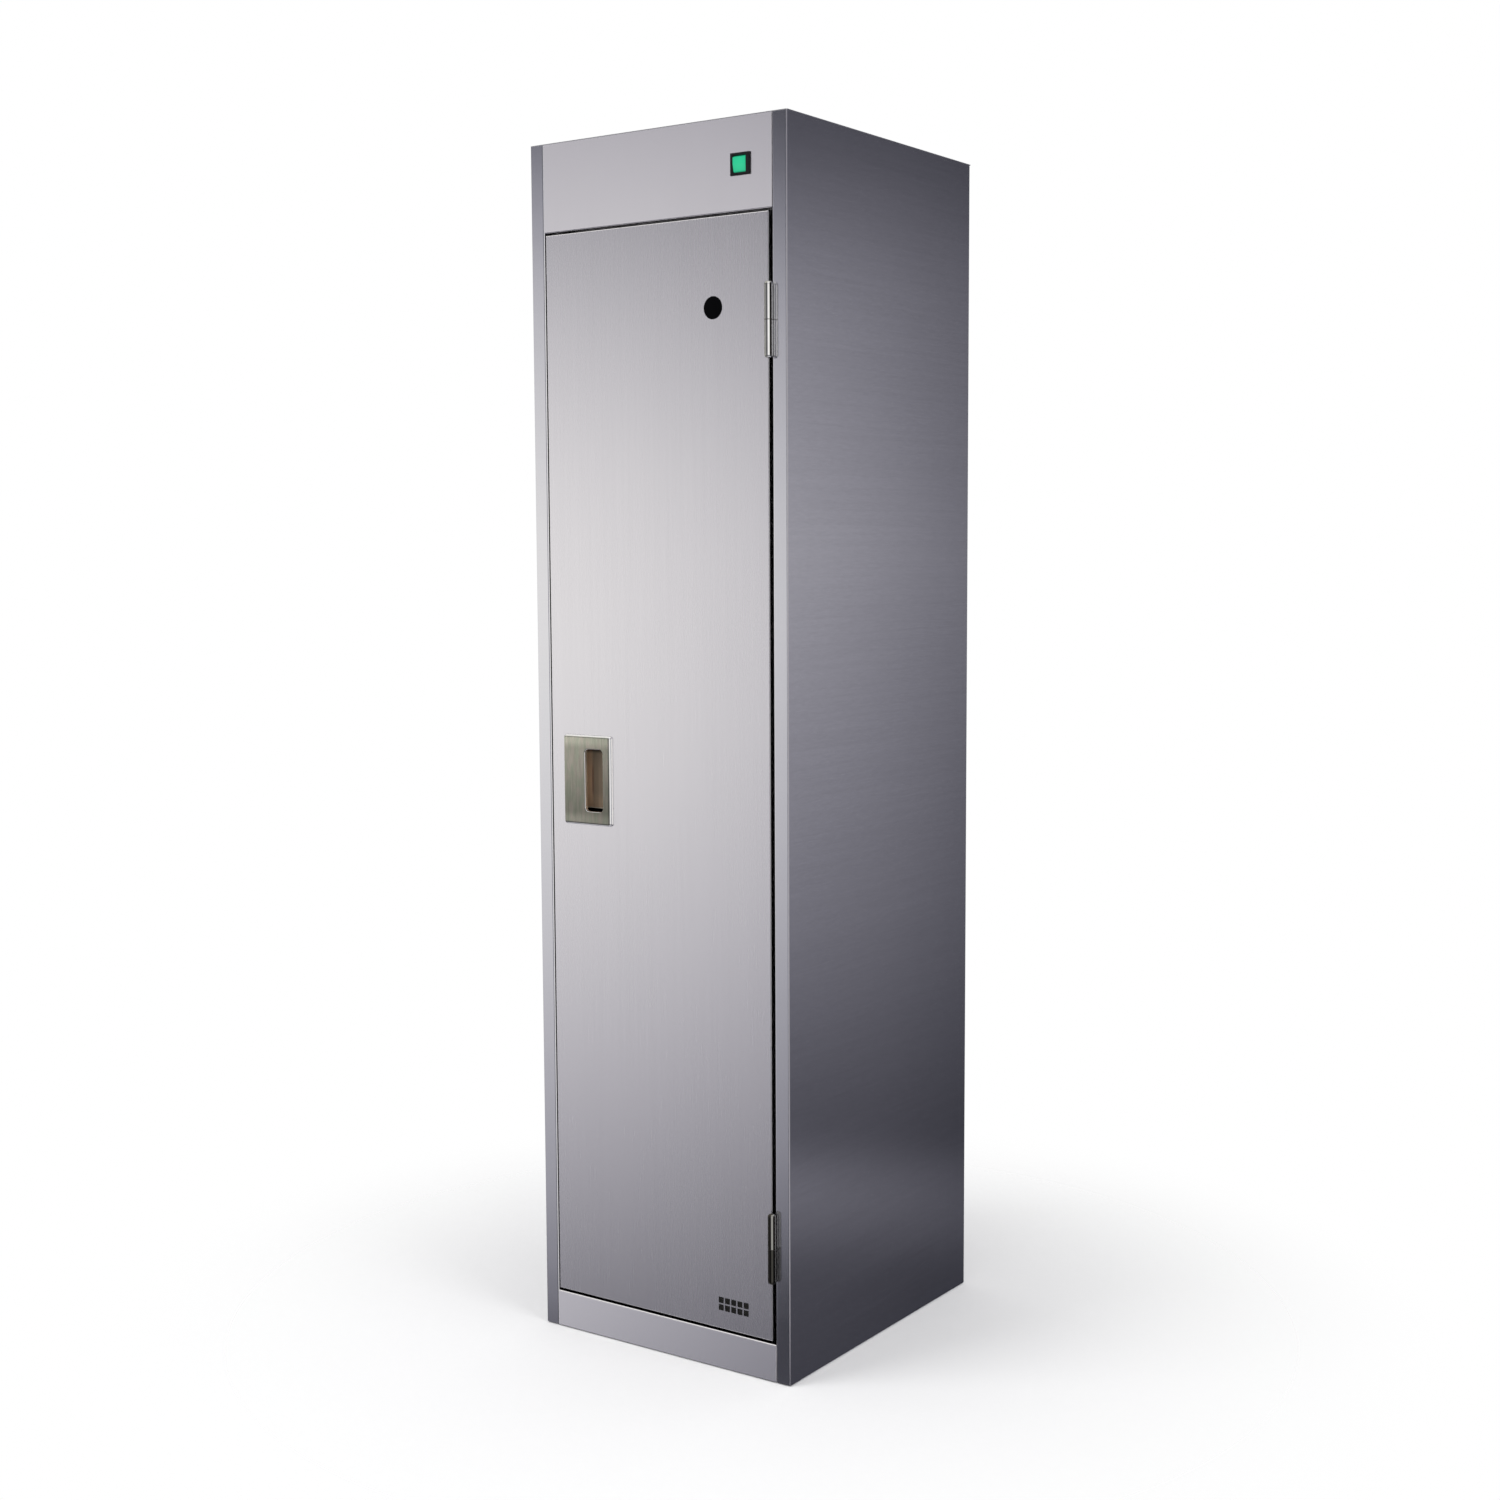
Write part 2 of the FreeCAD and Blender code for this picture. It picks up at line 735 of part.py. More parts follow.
def top_panel():
    """The roof sheet, with flanges turned down inside the side panels."""
    made = body("top_panel")
    pad(made, "roof_sheet", "z", (ROOF, S.height), rectangle(both(SIDE), (FRONT, BACK)))
    flange_y = (FRONT + S.roof_flange_setback, BACK - S.roof_flange_setback)
    flanges = [
        rectangle((WALL - S.gauge, WALL), flange_y),
        rectangle((-WALL, S.gauge - WALL), flange_y),
    ]
    pad(made, "roof_flanges", "z", (ROOF - S.roof_flange, ROOF), *flanges)
    corners = [(SIDE, FRONT), (-SIDE, FRONT)]
    round_off(made, "roof_corners", S.bend_radius, edges_on(made, "z", corners))
    return made


def header_panel():
    """The panel above the door, with the reveal and stop under it and the switch cut-out."""
    made = body("header_panel")
    inner = FRONT + S.gauge
    pad(made, "header_bends", "x", both(OPENING), polygon(
        (FRONT, HEADER),
        (STOP, HEADER),
        (STOP, BAY_FLOOR),
        (inner, BAY_FLOOR),
        (inner, ROOF - S.gauge),
        (FRONT + S.header_flange, ROOF - S.gauge),
        (FRONT + S.header_flange, ROOF),
        (FRONT, ROOF),
    ))
    pad(made, "header_stop", "x", both(STOP_EDGE),
        rectangle((STOP, STOP_BACK), (HEADER - S.stop_width, BAY_FLOOR)))
    round_off(made, "header_outer_bend", S.bend_radius, edges_on(made, "x", [(FRONT, HEADER)]))
    round_off(made, "header_inner_bend", S.bend_radius - S.gauge, edges_on(made, "x", [(inner, BAY_FLOOR)]))
    pocket(made, "switch_cutout", "y", (FRONT, inner), rectangle(
        about(SWITCH_X, S.switch_body_width + 2 * S.switch_body_clearance),
        about(SWITCH_Z, S.switch_body_height + 2 * S.switch_body_clearance),
    ))
    return made


def kick_plate():
    """The plinth front, with the sill turned back under the door."""
    made = body("kick_plate")
    inner, sill = FRONT + S.gauge, S.kick_height - S.gauge
    pad(made, "kick_bends", "x", both(OPENING), polygon(
        (FRONT, S.foot_pad_thickness),
        (inner, S.foot_pad_thickness),
        (inner, sill),
        (STOP, sill),
        (STOP, S.kick_height),
        (FRONT, S.kick_height),
    ))
    round_off(made, "kick_outer_bend", S.bend_radius, edges_on(made, "x", [(FRONT, S.kick_height)]))
    round_off(made, "kick_inner_bend", S.bend_radius - S.gauge, edges_on(made, "x", [(inner, sill)]))
    return made


def tray(name, flat, turn, flange_end):
    """A level sheet between the side panels, with a flange along each of them on its turn side."""
    inside = WALL - S.gauge
    made = body(name)
    pad(made, f"{name}_bends", "y", (STOP_BACK, INSIDE_BACK), polygon(
        (-WALL, flat),
        (WALL, flat),
        (WALL, flange_end),
        (inside, flange_end),
        (inside, turn),
        (-inside, turn),
        (-inside, flange_end),
        (-WALL, flange_end),
    ))
    return made


def floor_panel():
    """The compartment floor, whose front flange is the stop under the door."""
    made = tray("floor_panel", FLOOR, FLOOR - S.gauge, FLOOR - S.panel_flange)
    pad(made, "floor_stop", "y", (STOP, STOP_BACK),
        rectangle(both(STOP_EDGE), (S.kick_height - S.gauge, FLOOR)))
    return made


def ceiling_panel():
    """The compartment ceiling, which carries the fan and the electrical bay."""
    made = tray("ceiling_panel", HEADER, BAY_FLOOR, HEADER + S.panel_flange)
    holes = [circle(0, S.fan_offset_back, S.fan_bore_radius)]
    holes += [circle(x, y, S.screw_radius + S.screw_hole_clearance) for x, y in FAN_HOLES]
    holes += [circle(x, y, S.lead_radius + S.lead_hole_clearance) for x, y in (LAMP_LEAD, INTERLOCK_LEAD)]
    pocket(made, "ceiling_holes", "z", (HEADER, BAY_FLOOR), *holes)
    return made


def corner_spans(side, inset):
    """The spans of four squares in the base's corners, set in from the walls."""
    left = inset - WALL, side + inset - WALL
    right = WALL - inset - side, WALL - inset
    front = STOP_BACK + inset, STOP_BACK + inset + side
    back = INSIDE_BACK - inset - side, INSIDE_BACK - inset
    return [(x, y) for x in (left, right) for y in (front, back)]


def base_corner_plates():
    """Square plates welded into the base's corners."""
    z = (S.foot_pad_thickness, S.foot_pad_thickness + S.corner_plate_gauge)
    corners = corner_spans(S.corner_plate_side, 0)
    plates = [box(f"corner_plate_{i}", x, y, z) for i, (x, y) in enumerate(corners)]
    return group("base_corner_plates", *plates)


def foot_pads():
    """Pads under the corner plates, which the locker stands on."""
    inset = (S.corner_plate_side - S.foot_pad_side) / 2
    z = (0, S.foot_pad_thickness)
    corners = corner_spans(S.foot_pad_side, inset)
    pads = [box(f"foot_pad_{i}", x, y, z) for i, (x, y) in enumerate(corners)]
    return group("foot_pads", *pads)


def door_seal():
    """Four strips on the stops all round the opening."""
    y = (DOOR_BACK + S.seal_clearance, STOP)
    outer = STOP_EDGE + S.seal_width
    low, high = FLOOR - S.seal_width, HEADER - S.stop_width + S.seal_width
    upright = (low, high)
    strips = [
        box("seal_left", (-outer, -STOP_EDGE), y, upright),
        box("seal_right", (STOP_EDGE, outer), y, upright),
        box("seal_top", both(STOP_EDGE), y, (HEADER - S.stop_width, high)),
        box("seal_bottom", both(STOP_EDGE), y, (low, FLOOR)),
    ]
    return group("door_seal", *strips)


# Door

def vent_squares():
    """The square holes of the door vent, as drawings."""
    right, low = DOOR_RIGHT - S.vent_inset, DOOR_BOTTOM + S.vent_rise
    for i in range(VENT_COLUMNS):
        for j in range(VENT_ROWS):
            x_high, z_low = right - i * S.vent_pitch, low + j * S.vent_pitch
            yield rectangle((x_high - S.vent_hole, x_high), (z_low, z_low + S.vent_hole))


def door_skin():
    """The door's outer sheet with its four returns, and the holes for the window, the vent and the pull."""
    made = body("door_skin")
    edges, upright = (DOOR_LEFT, DOOR_RIGHT), (DOOR_BOTTOM, DOOR_TOP)
    pad(made, "door_face", "y", (FRONT, DOOR_SKIN), rectangle(edges, upright))
    inner = (DOOR_LEFT + S.door_gauge, DOOR_RIGHT - S.door_gauge)
    pad(made, "door_returns", "y", (DOOR_SKIN, DOOR_LINER), rectangle(edges, upright),
        rectangle(inner, (DOOR_BOTTOM + S.door_gauge, DOOR_TOP - S.door_gauge)))
    round_off(made, "door_edges", S.door_bend_radius, rim_edges(made, "y", FRONT))
    pocket(made, "door_holes", "y", (FRONT, DOOR_SKIN),
           circle(WINDOW_X, WINDOW_Z, S.window_hole_radius),
           *vent_squares(),
           rectangle(about(PULL_X, S.cup_width + 2 * S.cup_clearance),
                     about(PULL_Z, S.cup_height + 2 * S.cup_clearance)),
           *[circle(x, z, S.stud_radius + S.stud_clearance) for x, z in PULL_STUDS])
    return made


def door_inner_panel():
    """The flat sheet that closes the door's back, open behind the window and the vent."""
    made = body("door_inner_panel")
    pad(made, "inner_sheet", "y", (DOOR_LINER, DOOR_BACK),
        rectangle((DOOR_LEFT, DOOR_RIGHT), (DOOR_BOTTOM, DOOR_TOP)))
    pocket(made, "inner_holes", "y", (DOOR_LINER, DOOR_BACK),
           circle(WINDOW_X, WINDOW_Z, S.window_sleeve_bore), *vent_squares())
    return made


def door_stiffener():
    """An upright channel between the door's two sheets."""
    half, inside, web = S.stiffener_width / 2, S.stiffener_width / 2 - S.door_gauge, DOOR_SKIN + S.door_gauge
    made = body("door_stiffener")
    span = (DOOR_BOTTOM + S.stiffener_end_gap, DOOR_TOP - S.stiffener_end_gap)
    pad(made, "stiffener_bends", "z", span, polygon(
        (-half, DOOR_SKIN),
        (half, DOOR_SKIN),
        (half, DOOR_LINER),
        (inside, DOOR_LINER),
        (inside, web),
        (-inside, web),
        (-inside, DOOR_LINER),
        (-half, DOOR_LINER),
    ))
    return made


def sight_window():
    """The dark lens, whose boss fills the hole in the door's outer sheet."""
    centre = (WINDOW_X, WINDOW_Z)
    boss = rod("window_boss", "y", centre, (FRONT + S.window_recess, DOOR_SKIN),
               S.window_hole_radius - S.window_clearance)
    flange = rod("window_flange", "y", centre, (DOOR_SKIN, DOOR_SKIN + S.window_thickness),
                 S.window_flange_radius)
    return join("sight_window", boss, flange)


def window_sleeve():
    """The sleeve that holds the lens off the door's inner panel."""
    span = (DOOR_SKIN + S.window_thickness, DOOR_LINER)
    return tube("window_sleeve", "y", (WINDOW_X, WINDOW_Z), span, S.window_flange_radius,
                S.window_sleeve_bore)


def vent_filter():
    """The filter block between the door's sheets, behind the vent."""
    wide = (VENT_COLUMNS - 1) * S.vent_pitch + S.vent_hole
    tall = (VENT_ROWS - 1) * S.vent_pitch + S.vent_hole
    right, low = DOOR_RIGHT - S.vent_inset, DOOR_BOTTOM + S.vent_rise
    return box(
        "vent_filter",
        (right - wide - S.filter_margin, right + S.filter_margin),
        (DOOR_SKIN, DOOR_LINER),
        (low - S.filter_margin, low + tall + S.filter_margin),
    )


def handle_plate():
    """The pull's raised plate, slotted towards the hinges, with its studs."""
    made = body("handle_plate")
    face = FRONT - S.plate_proud
    x, z = about(PULL_X, S.plate_width), about(PULL_Z, S.plate_height)
    pad(made, "plate_blank", "y", (face, FRONT), rectangle(x, z))
    round_off(made, "plate_corners", S.plate_corner, edges_on(made, "y", [(a, b) for a in x for b in z]))
    round_off(made, "plate_edges", S.plate_edge, rim_edges(made, "y", face))
    slot_x = about(PULL_X + S.slot_shift, S.slot_width)
    slot_z = about(PULL_Z, S.slot_height)
    pocket(made, "plate_slot", "y", (face, FRONT), rectangle(slot_x, slot_z))
    round_off(made, "slot_corners", S.slot_corner,
              edges_on(made, "y", [(a, b) for a in slot_x for b in slot_z]))
    round_off(made, "slot_lips", S.slot_lip,
              rim_edges(made, "y", face, (slot_x[0], slot_z[0]), (slot_x[1], slot_z[1])))
    pad(made, "plate_studs", "y", (FRONT, DOOR_SKIN + S.stud_length),
        *[circle(a, b, S.stud_radius) for a, b in PULL_STUDS])
    return made


def handle_cup():
    """The pressed pocket behind the plate, wider than the slot so that fingers hook behind its lip."""
    made = body("handle_cup")
    end = FRONT + S.cup_depth
    x, z = about(PULL_X, S.cup_width), about(PULL_Z, S.cup_height)
    pad(made, "cup_outside", "y", (FRONT, end), rectangle(x, z))
    inner_x = about(PULL_X, S.cup_width - 2 * S.cup_wall)
    inner_z = about(PULL_Z, S.cup_height - 2 * S.cup_wall)
    floor = end - S.cup_wall
    pocket(made, "cup_inside", "y", (FRONT, floor), rectangle(inner_x, inner_z))
    round_off(made, "cup_inside_bends", S.cup_corner, edges_on(made, "z", [(a, floor) for a in inner_x]))
    round_off(made, "cup_outside_bends", S.cup_corner + S.cup_wall,
              edges_on(made, "z", [(a, end) for a in x]))
    return made


def handle_nuts():
    """Nuts on the plate's studs, behind the door's outer sheet."""
    nuts = []
    span = (DOOR_SKIN, DOOR_SKIN + S.nut_height)
    for i, centre in enumerate(PULL_STUDS):
        hexagon = doc.addObject("Part::Prism", f"handle_nut_{i}_blank")
        hexagon.Polygon = NUT_SIDES
        hexagon.Placement = Placement(Vector(), TURNS["y"])
        hexagon.setExpression("Circumradius", str(S.nut_radius))
        hexagon.setExpression("Height", str(S.nut_height))
        for letter, place in zip(AXES, (centre[0], DOOR_SKIN, centre[1])):
            hexagon.setExpression(f"Placement.Base.{letter}", str(place))
        bore = rod(f"handle_nut_{i}_bore", "y", centre, span, S.stud_radius + S.nut_clearance)
        nuts.append(cut(f"handle_nut_{i}", hexagon, bore))
    return group("handle_nuts", *nuts)


def catch_strikes():
    """Steel plates on the door that the magnets hold."""
    x = about((CATCH_X[0] + CATCH_X[1]) / 2, S.strike_width)
    y = (DOOR_BACK, DOOR_BACK + S.strike_thickness)
    strikes = [box(f"catch_strike_{i}", x, y, about(z, S.strike_length)) for i, z in enumerate(CATCH_PLACES)]
    return group("catch_strikes", *strikes)


def magnet_catch(name, z):
    """A magnet block beside the latch-side stop, with an ear screwed behind it."""
    front = DOOR_BACK + S.strike_thickness + S.catch_air_gap
    block = box(f"{name}_block", CATCH_X, (front, front + S.catch_depth), about(z, S.catch_length))
    ear_x = (-OPENING, CATCH_X[1])
    ear = box(f"{name}_ear", ear_x, (STOP_BACK, STOP_BACK + S.catch_ear), about(z, S.catch_length))
    return join(name, block, ear)


# Hinges

def hinge_knuckle(name, span, leaf_x, outer_end):
    """One knuckle of a lift-off hinge with its leaf, which lies in the gap beside the door."""
    made = body(name)
    pad(made, f"{name}_barrel", "z", span, circle(HINGE_X, HINGE_Y, S.barrel_radius))
    circles = [
        edge for edge in rim_edges(made, "z", outer_end)
        if isinstance(made.Tip.Shape.getElement(edge).Curve, Part.Circle)
    ]
    round_off(made, f"{name}_nose", S.barrel_nose, circles)
    bore, leaf = (
        (span[0], span[1] - inset) if outer_end == span[1] else (span[0] + inset, span[1])
        for inset in (S.hinge_cap, S.barrel_nose)
    )
    pad(made, f"{name}_leaf", "z", leaf, rectangle(leaf_x, (HINGE_Y, FRONT + S.hinge_leaf_reach)))
    pocket(made, f"{name}_bore", "z", bore,
           circle(HINGE_X, HINGE_Y, S.hinge_pin_radius + S.hinge_pin_clearance))
    return made


def hinge(place, centre):
    """A lift-off hinge: the frame's knuckle below, the door's above, a washer between and the pin."""
    low, high = about(centre, S.hinge_length)
    washer = about(centre, S.hinge_washer)
    frame_leaf, door_leaf = (OPENING - S.hinge_leaf, OPENING), (DOOR_RIGHT, DOOR_RIGHT + S.hinge_leaf)
    frame = hinge_knuckle(f"hinge_{place}_frame_leaf", (low, washer[0]), frame_leaf, low)
    door = hinge_knuckle(f"hinge_{place}_door_leaf", (washer[1], high), door_leaf, high)
    pin_span = (low + S.hinge_cap, high - S.hinge_cap - S.hinge_washer)
    pin = rod(f"hinge_{place}_pin", "z", (HINGE_X, HINGE_Y), pin_span, S.hinge_pin_radius)
    spacer = tube(f"hinge_{place}_washer", "z", (HINGE_X, HINGE_Y), washer, S.barrel_radius,
                  S.hinge_pin_radius + S.hinge_pin_clearance)
    return [frame, door, pin, spacer]


# Power switch and inlet

def switch_bezel():
    """The switch housing: a rim on the header's face and a body behind it, with a well for the rocker."""
    made = body("switch_bezel")
    face = FRONT - S.bezel_proud
    rim_x, rim_z = about(SWITCH_X, S.bezel_width), about(SWITCH_Z, S.bezel_height)
    pad(made, "bezel_rim", "y", (face, FRONT), rectangle(rim_x, rim_z))
    round_off(made, "bezel_edges", S.bezel_corner, rim_edges(made, "y", face))
    pad(made, "bezel_body", "y", (FRONT, FRONT + S.switch_body_depth),
        rectangle(about(SWITCH_X, S.switch_body_width), about(SWITCH_Z, S.switch_body_height)))
    pocket(made, "bezel_well", "y", (face, FRONT + S.rocker_well), rectangle(
        about(SWITCH_X, S.rocker_width + 2 * S.rocker_gap),
        about(SWITCH_Z, 2 * (S.rocker_radius + S.rocker_gap)),
    ))
    reach = SWITCH_X + S.rocker_width / 2 + S.rocker_gap + S.rocker_axle_reach
    other = SWITCH_X - S.rocker_width / 2 - S.rocker_gap - S.rocker_axle_reach
    pocket(made, "bezel_axle_seats", "x", (other, reach),
           circle(ROCKER_Y, SWITCH_Z, S.rocker_axle_radius + S.rocker_axle_clearance))
    return made


def switch_rocker():
    """The rocker: a drum about its axle, faced with two flats that meet in a ridge, the upper one upright."""
    face, back = ROCKER_Y - S.rocker_pivot_depth - S.rocker_face_proud, ROCKER_Y + S.rocker_back
    x = about(SWITCH_X, S.rocker_width)
    low, high = SWITCH_Z - S.rocker_radius, SWITCH_Z + S.rocker_radius
    lean = face + S.rocker_radius * tangent(S.rocker_tilt)
    prism = body("rocker_prism")
    pad(prism, "rocker_flats", "x", x,
        polygon((face, high), (face, SWITCH_Z), (lean, low), (back, low), (back, high)))
    drum = rod("rocker_drum", "x", (ROCKER_Y, SWITCH_Z), x, S.rocker_radius)
    cap = doc.addObject("Part::Common", "rocker_cap")
    cap.Base = prism
    cap.Tool = drum
    reach = S.rocker_width + 2 * S.rocker_gap + 2 * S.rocker_axle_reach - 2 * S.rocker_axle_clearance
    axle = rod("rocker_axle", "x", (ROCKER_Y, SWITCH_Z), about(SWITCH_X, reach), S.rocker_axle_radius)
    return join("switch_rocker", cap, axle)


def switch_terminals():
    """Push-on tabs behind the switch."""
    start = FRONT + S.switch_body_depth
    y = (start, start + S.tab_length)
    tabs = [
        box(f"switch_tab_{i}_{j}", about(x, S.tab_thickness), y, about(z, S.tab_width))
        for i, x in enumerate(row_of(2, SWITCH_X, S.tab_pitch_across))
        for j, z in enumerate(row_of(2, SWITCH_Z, S.tab_pitch_up))
    ]
    return group("switch_terminals", *tabs)


def power_inlet():
    """The appliance inlet in the back panel, with its recess."""
    made = body("power_inlet")
    outside = BACK + S.inlet_flange_proud
    pad(made, "inlet_flange", "y", (BACK, outside),
        rectangle(about(INLET_X, S.inlet_flange_width), about(INLET_Z, S.inlet_flange_height)))
    pad(made, "inlet_body", "y", (BACK - S.inlet_body_depth, BACK),
        rectangle(about(INLET_X, S.inlet_body_width), about(INLET_Z, S.inlet_body_height)))
    pocket(made, "inlet_recess", "y", (outside - S.inlet_recess_depth, outside),
           rectangle(about(INLET_X, S.inlet_recess_width), about(INLET_Z, S.inlet_recess_height)))
    return made


def inlet_pins():
    """The three blades on the floor of the inlet's recess."""
    floor = BACK + S.inlet_flange_proud - S.inlet_recess_depth
    y = (floor, floor + S.inlet_pin_length)
    drops = (-1 * S.inlet_pin_height / 2, S.inlet_pin_height / 2, -1 * S.inlet_pin_height / 2)
    pins = [
        box(f"inlet_pin_{i}", about(x, S.inlet_pin_width), y, about(INLET_Z + drop, S.inlet_pin_height))
        for i, (x, drop) in enumerate(zip(row_of(3, INLET_X, S.inlet_pin_pitch), drops))
    ]
    return group("inlet_pins", *pins)


# Fan

def fan_frame():
    """The fan's square frame, with the motor held across its bore by struts."""
    made = body("fan_frame")
    motor = (FAN_TOP - S.fan_motor_height, FAN_TOP)
    y = S.fan_offset_back
    pad(made, "fan_blank", "z", (BAY_FLOOR, FAN_TOP), rectangle(both(S.fan_side / 2), about(y, S.fan_side)))
    pocket(made, "fan_bore", "z", (BAY_FLOOR, FAN_TOP), circle(0, y, S.fan_bore_radius),
           *[circle(a, b, S.screw_radius + S.screw_hole_clearance) for a, b in FAN_HOLES])
    struts = (FAN_TOP - S.fan_strut_height, FAN_TOP)
    pad(made, "fan_strut_across", "z", struts,
        rectangle(both(S.fan_side / 2), about(y, S.fan_strut_width)))
    pad(made, "fan_strut_along", "z", struts,
        rectangle(both(S.fan_strut_width / 2), about(y, S.fan_side)))
    pad(made, "fan_motor", "z", motor, circle(0, y, S.fan_motor_radius))
    pocket(made, "fan_bearing", "z", (motor[0], motor[0] + S.fan_shaft_reach),
           circle(0, y, S.fan_shaft_radius + S.fan_shaft_clearance))
    return made


def fan_rotor():
    """The fan's hub, blades and shaft, made about its own axis and then set in the frame."""
    made = body("fan_rotor")
    hub_top = FAN_TOP - S.fan_motor_height - S.fan_hub_gap
    hub = (BAY_FLOOR + S.fan_strut_height, hub_top)
    root, tip = S.fan_hub_radius - S.fan_blade_thickness, S.fan_bore_radius - S.fan_tip_clearance
    half, lean = S.fan_blade_run / 2, S.fan_blade_thickness
    blade = (hub[0] + S.fan_blade_thickness, hub_top - S.fan_blade_thickness)
    pad(made, "rotor_hub", "z", hub, circle(0, 0, S.fan_hub_radius))
    pad(made, "rotor_shaft", "z", (hub_top, hub_top + S.fan_shaft_reach), circle(0, 0, S.fan_shaft_radius))
    first = pad(made, "rotor_blade", "y", (root, tip), polygon(
        (-half, blade[0]),
        (lean - half, blade[0]),
        (half + lean, blade[1]),
        (half, blade[1]),
    ))
    blades = made.newObject("PartDesign::PolarPattern", "rotor_blades")
    blades.Originals = [first]
    blades.Axis = (next(a for a in made.Origin.OriginFeatures if a.Role == "Z_Axis"), [""])
    blades.Angle = WHOLE_TURN
    blades.Occurrences = FAN_BLADES
    made.Tip = blades
    made.setExpression("Placement.Base.y", str(S.fan_offset_back))
    doc.recompute()
    return made


def fan_guard():
    """The guard under the fan: rings on two crossed bars, on four posts under the ceiling panel."""
    middle, half = S.fan_offset_back, S.guard_bar_width / 2
    level = HEADER - S.guard_drop - S.guard_thickness, HEADER - S.guard_drop
    reach = S.fan_bore_radius + S.guard_post_inset
    made = body("fan_guard")
    pad(made, "guard_bar_across", "z", level, rectangle(both(reach), (middle - half, middle + half)))
    pad(made, "guard_bar_along", "z", level, rectangle(both(half), (middle - reach, middle + reach)))
    for i in range(GUARD_RINGS):
        radius = (i + 1) * S.guard_ring_pitch
        pad(made, f"guard_ring_{i}", "z", level,
            circle(0, middle, radius + half), circle(0, middle, radius - half))
    ends = [(-reach, middle), (reach, middle), (0, middle - reach), (0, middle + reach)]
    pad(made, "guard_posts", "z", (level[0], HEADER), *[circle(x, y, S.guard_post_radius) for x, y in ends])
    return made


def fan_screws():
    """Screws up through the ceiling panel and the fan's corners."""
    screws = []
    for i, centre in enumerate(FAN_HOLES):
        head = rod(f"fan_screw_{i}_head", "z", centre, (HEADER - S.screw_head_height, HEADER),
                   S.screw_head_radius)
        shank = rod(f"fan_screw_{i}_shank", "z", centre, (HEADER, FAN_TOP), S.screw_radius)
        screws.append(join(f"fan_screw_{i}", head, shank))
    return group("fan_screws", *screws)


# Germicidal lamp

def away(place, towards, distance):
    """A place moved up (towards 1) or down (towards -1) by a distance."""
    return place + towards * distance


def upright(first, second, towards):
    """Two places as a span, low one first."""
    return (first, second) if towards > 0 else (second, first)


def lamp_tube():
    """The glass tube between its caps."""
    span = (LAMP_LOW + S.lamp_cap_floor, LAMP_HIGH - S.lamp_cap_floor)
    return tube("lamp_tube", "z", LAMP_AXIS, span, S.lamp_tube_radius, S.lamp_tube_radius - S.lamp_tube_wall)


def lamp_caps():
    """The tube's two metal caps with their pins."""
    caps = []
    for i, (end, towards) in enumerate(LAMP_ENDS):
        inner_end = away(end, -towards, S.lamp_cap_length)
        floor = away(end, -towards, S.lamp_cap_floor)
        blank = rod(f"lamp_cap_{i}_blank", "z", LAMP_AXIS, upright(inner_end, end, towards),
                    S.lamp_cap_radius)
        socket = rod(f"lamp_cap_{i}_socket", "z", LAMP_AXIS, upright(inner_end, floor, towards),
                     S.lamp_tube_radius + S.lamp_fit_clearance)
        shell = cut(f"lamp_cap_{i}_shell", blank, socket)
        pin_span = upright(end, away(end, towards, S.lamp_pin_length), towards)
        pins = [
            rod(f"lamp_pin_{i}_{j}", "z", (x, LAMP_Y), pin_span, S.lamp_pin_radius)
            for j, x in enumerate(row_of(2, 0, S.lamp_pin_spacing))
        ]
        caps.append(join(f"lamp_cap_{i}", shell, *pins))
    return group("lamp_caps", *caps)


def lamp_holders():
    """The two holders that stand off the lamp base and take the tube's pins."""
    holders = []
    for i, (end, towards) in enumerate(LAMP_ENDS):
        inner = away(end, towards, S.lamp_holder_gap)
        span = upright(inner, away(inner, towards, S.lamp_holder_thickness), towards)
        stem = box(f"lamp_holder_{i}_stem", both(S.lamp_holder_width / 2), (LAMP_Y, LAMP_BASE_FRONT), span)
        nose = rod(f"lamp_holder_{i}_nose", "z", LAMP_AXIS, span, S.lamp_holder_width / 2)
        holes = [
            rod(f"lamp_holder_{i}_hole_{j}", "z", (x, LAMP_Y), span, S.lamp_pin_radius + S.lamp_pin_clearance)
            for j, x in enumerate(row_of(2, 0, S.lamp_pin_spacing))
        ]
        holders.append(cut(f"lamp_holder_{i}", join(f"lamp_holder_{i}_blank", stem, nose), *holes))
    return group("lamp_holders", *holders)


def lamp_base():
    """The channel on the back panel that carries the lamp."""
    half, inside, web = S.lamp_base_width / 2, S.lamp_base_width / 2 - S.gauge, LAMP_BASE_FRONT + S.gauge
    made = body("lamp_base")
    pad(made, "lamp_base_bends", "z", LAMP_BASE_SPAN, polygon(
        (-half, LAMP_BASE_FRONT),
        (half, LAMP_BASE_FRONT),
        (half, REAR),
        (inside, REAR),
        (inside, web),
        (-inside, web),
        (-inside, REAR),
        (-half, REAR),
    ))
    corners = [(-half, LAMP_BASE_FRONT), (half, LAMP_BASE_FRONT)]
    round_off(made, "lamp_base_corners", S.gauge, edges_on(made, "z", corners))
    return made


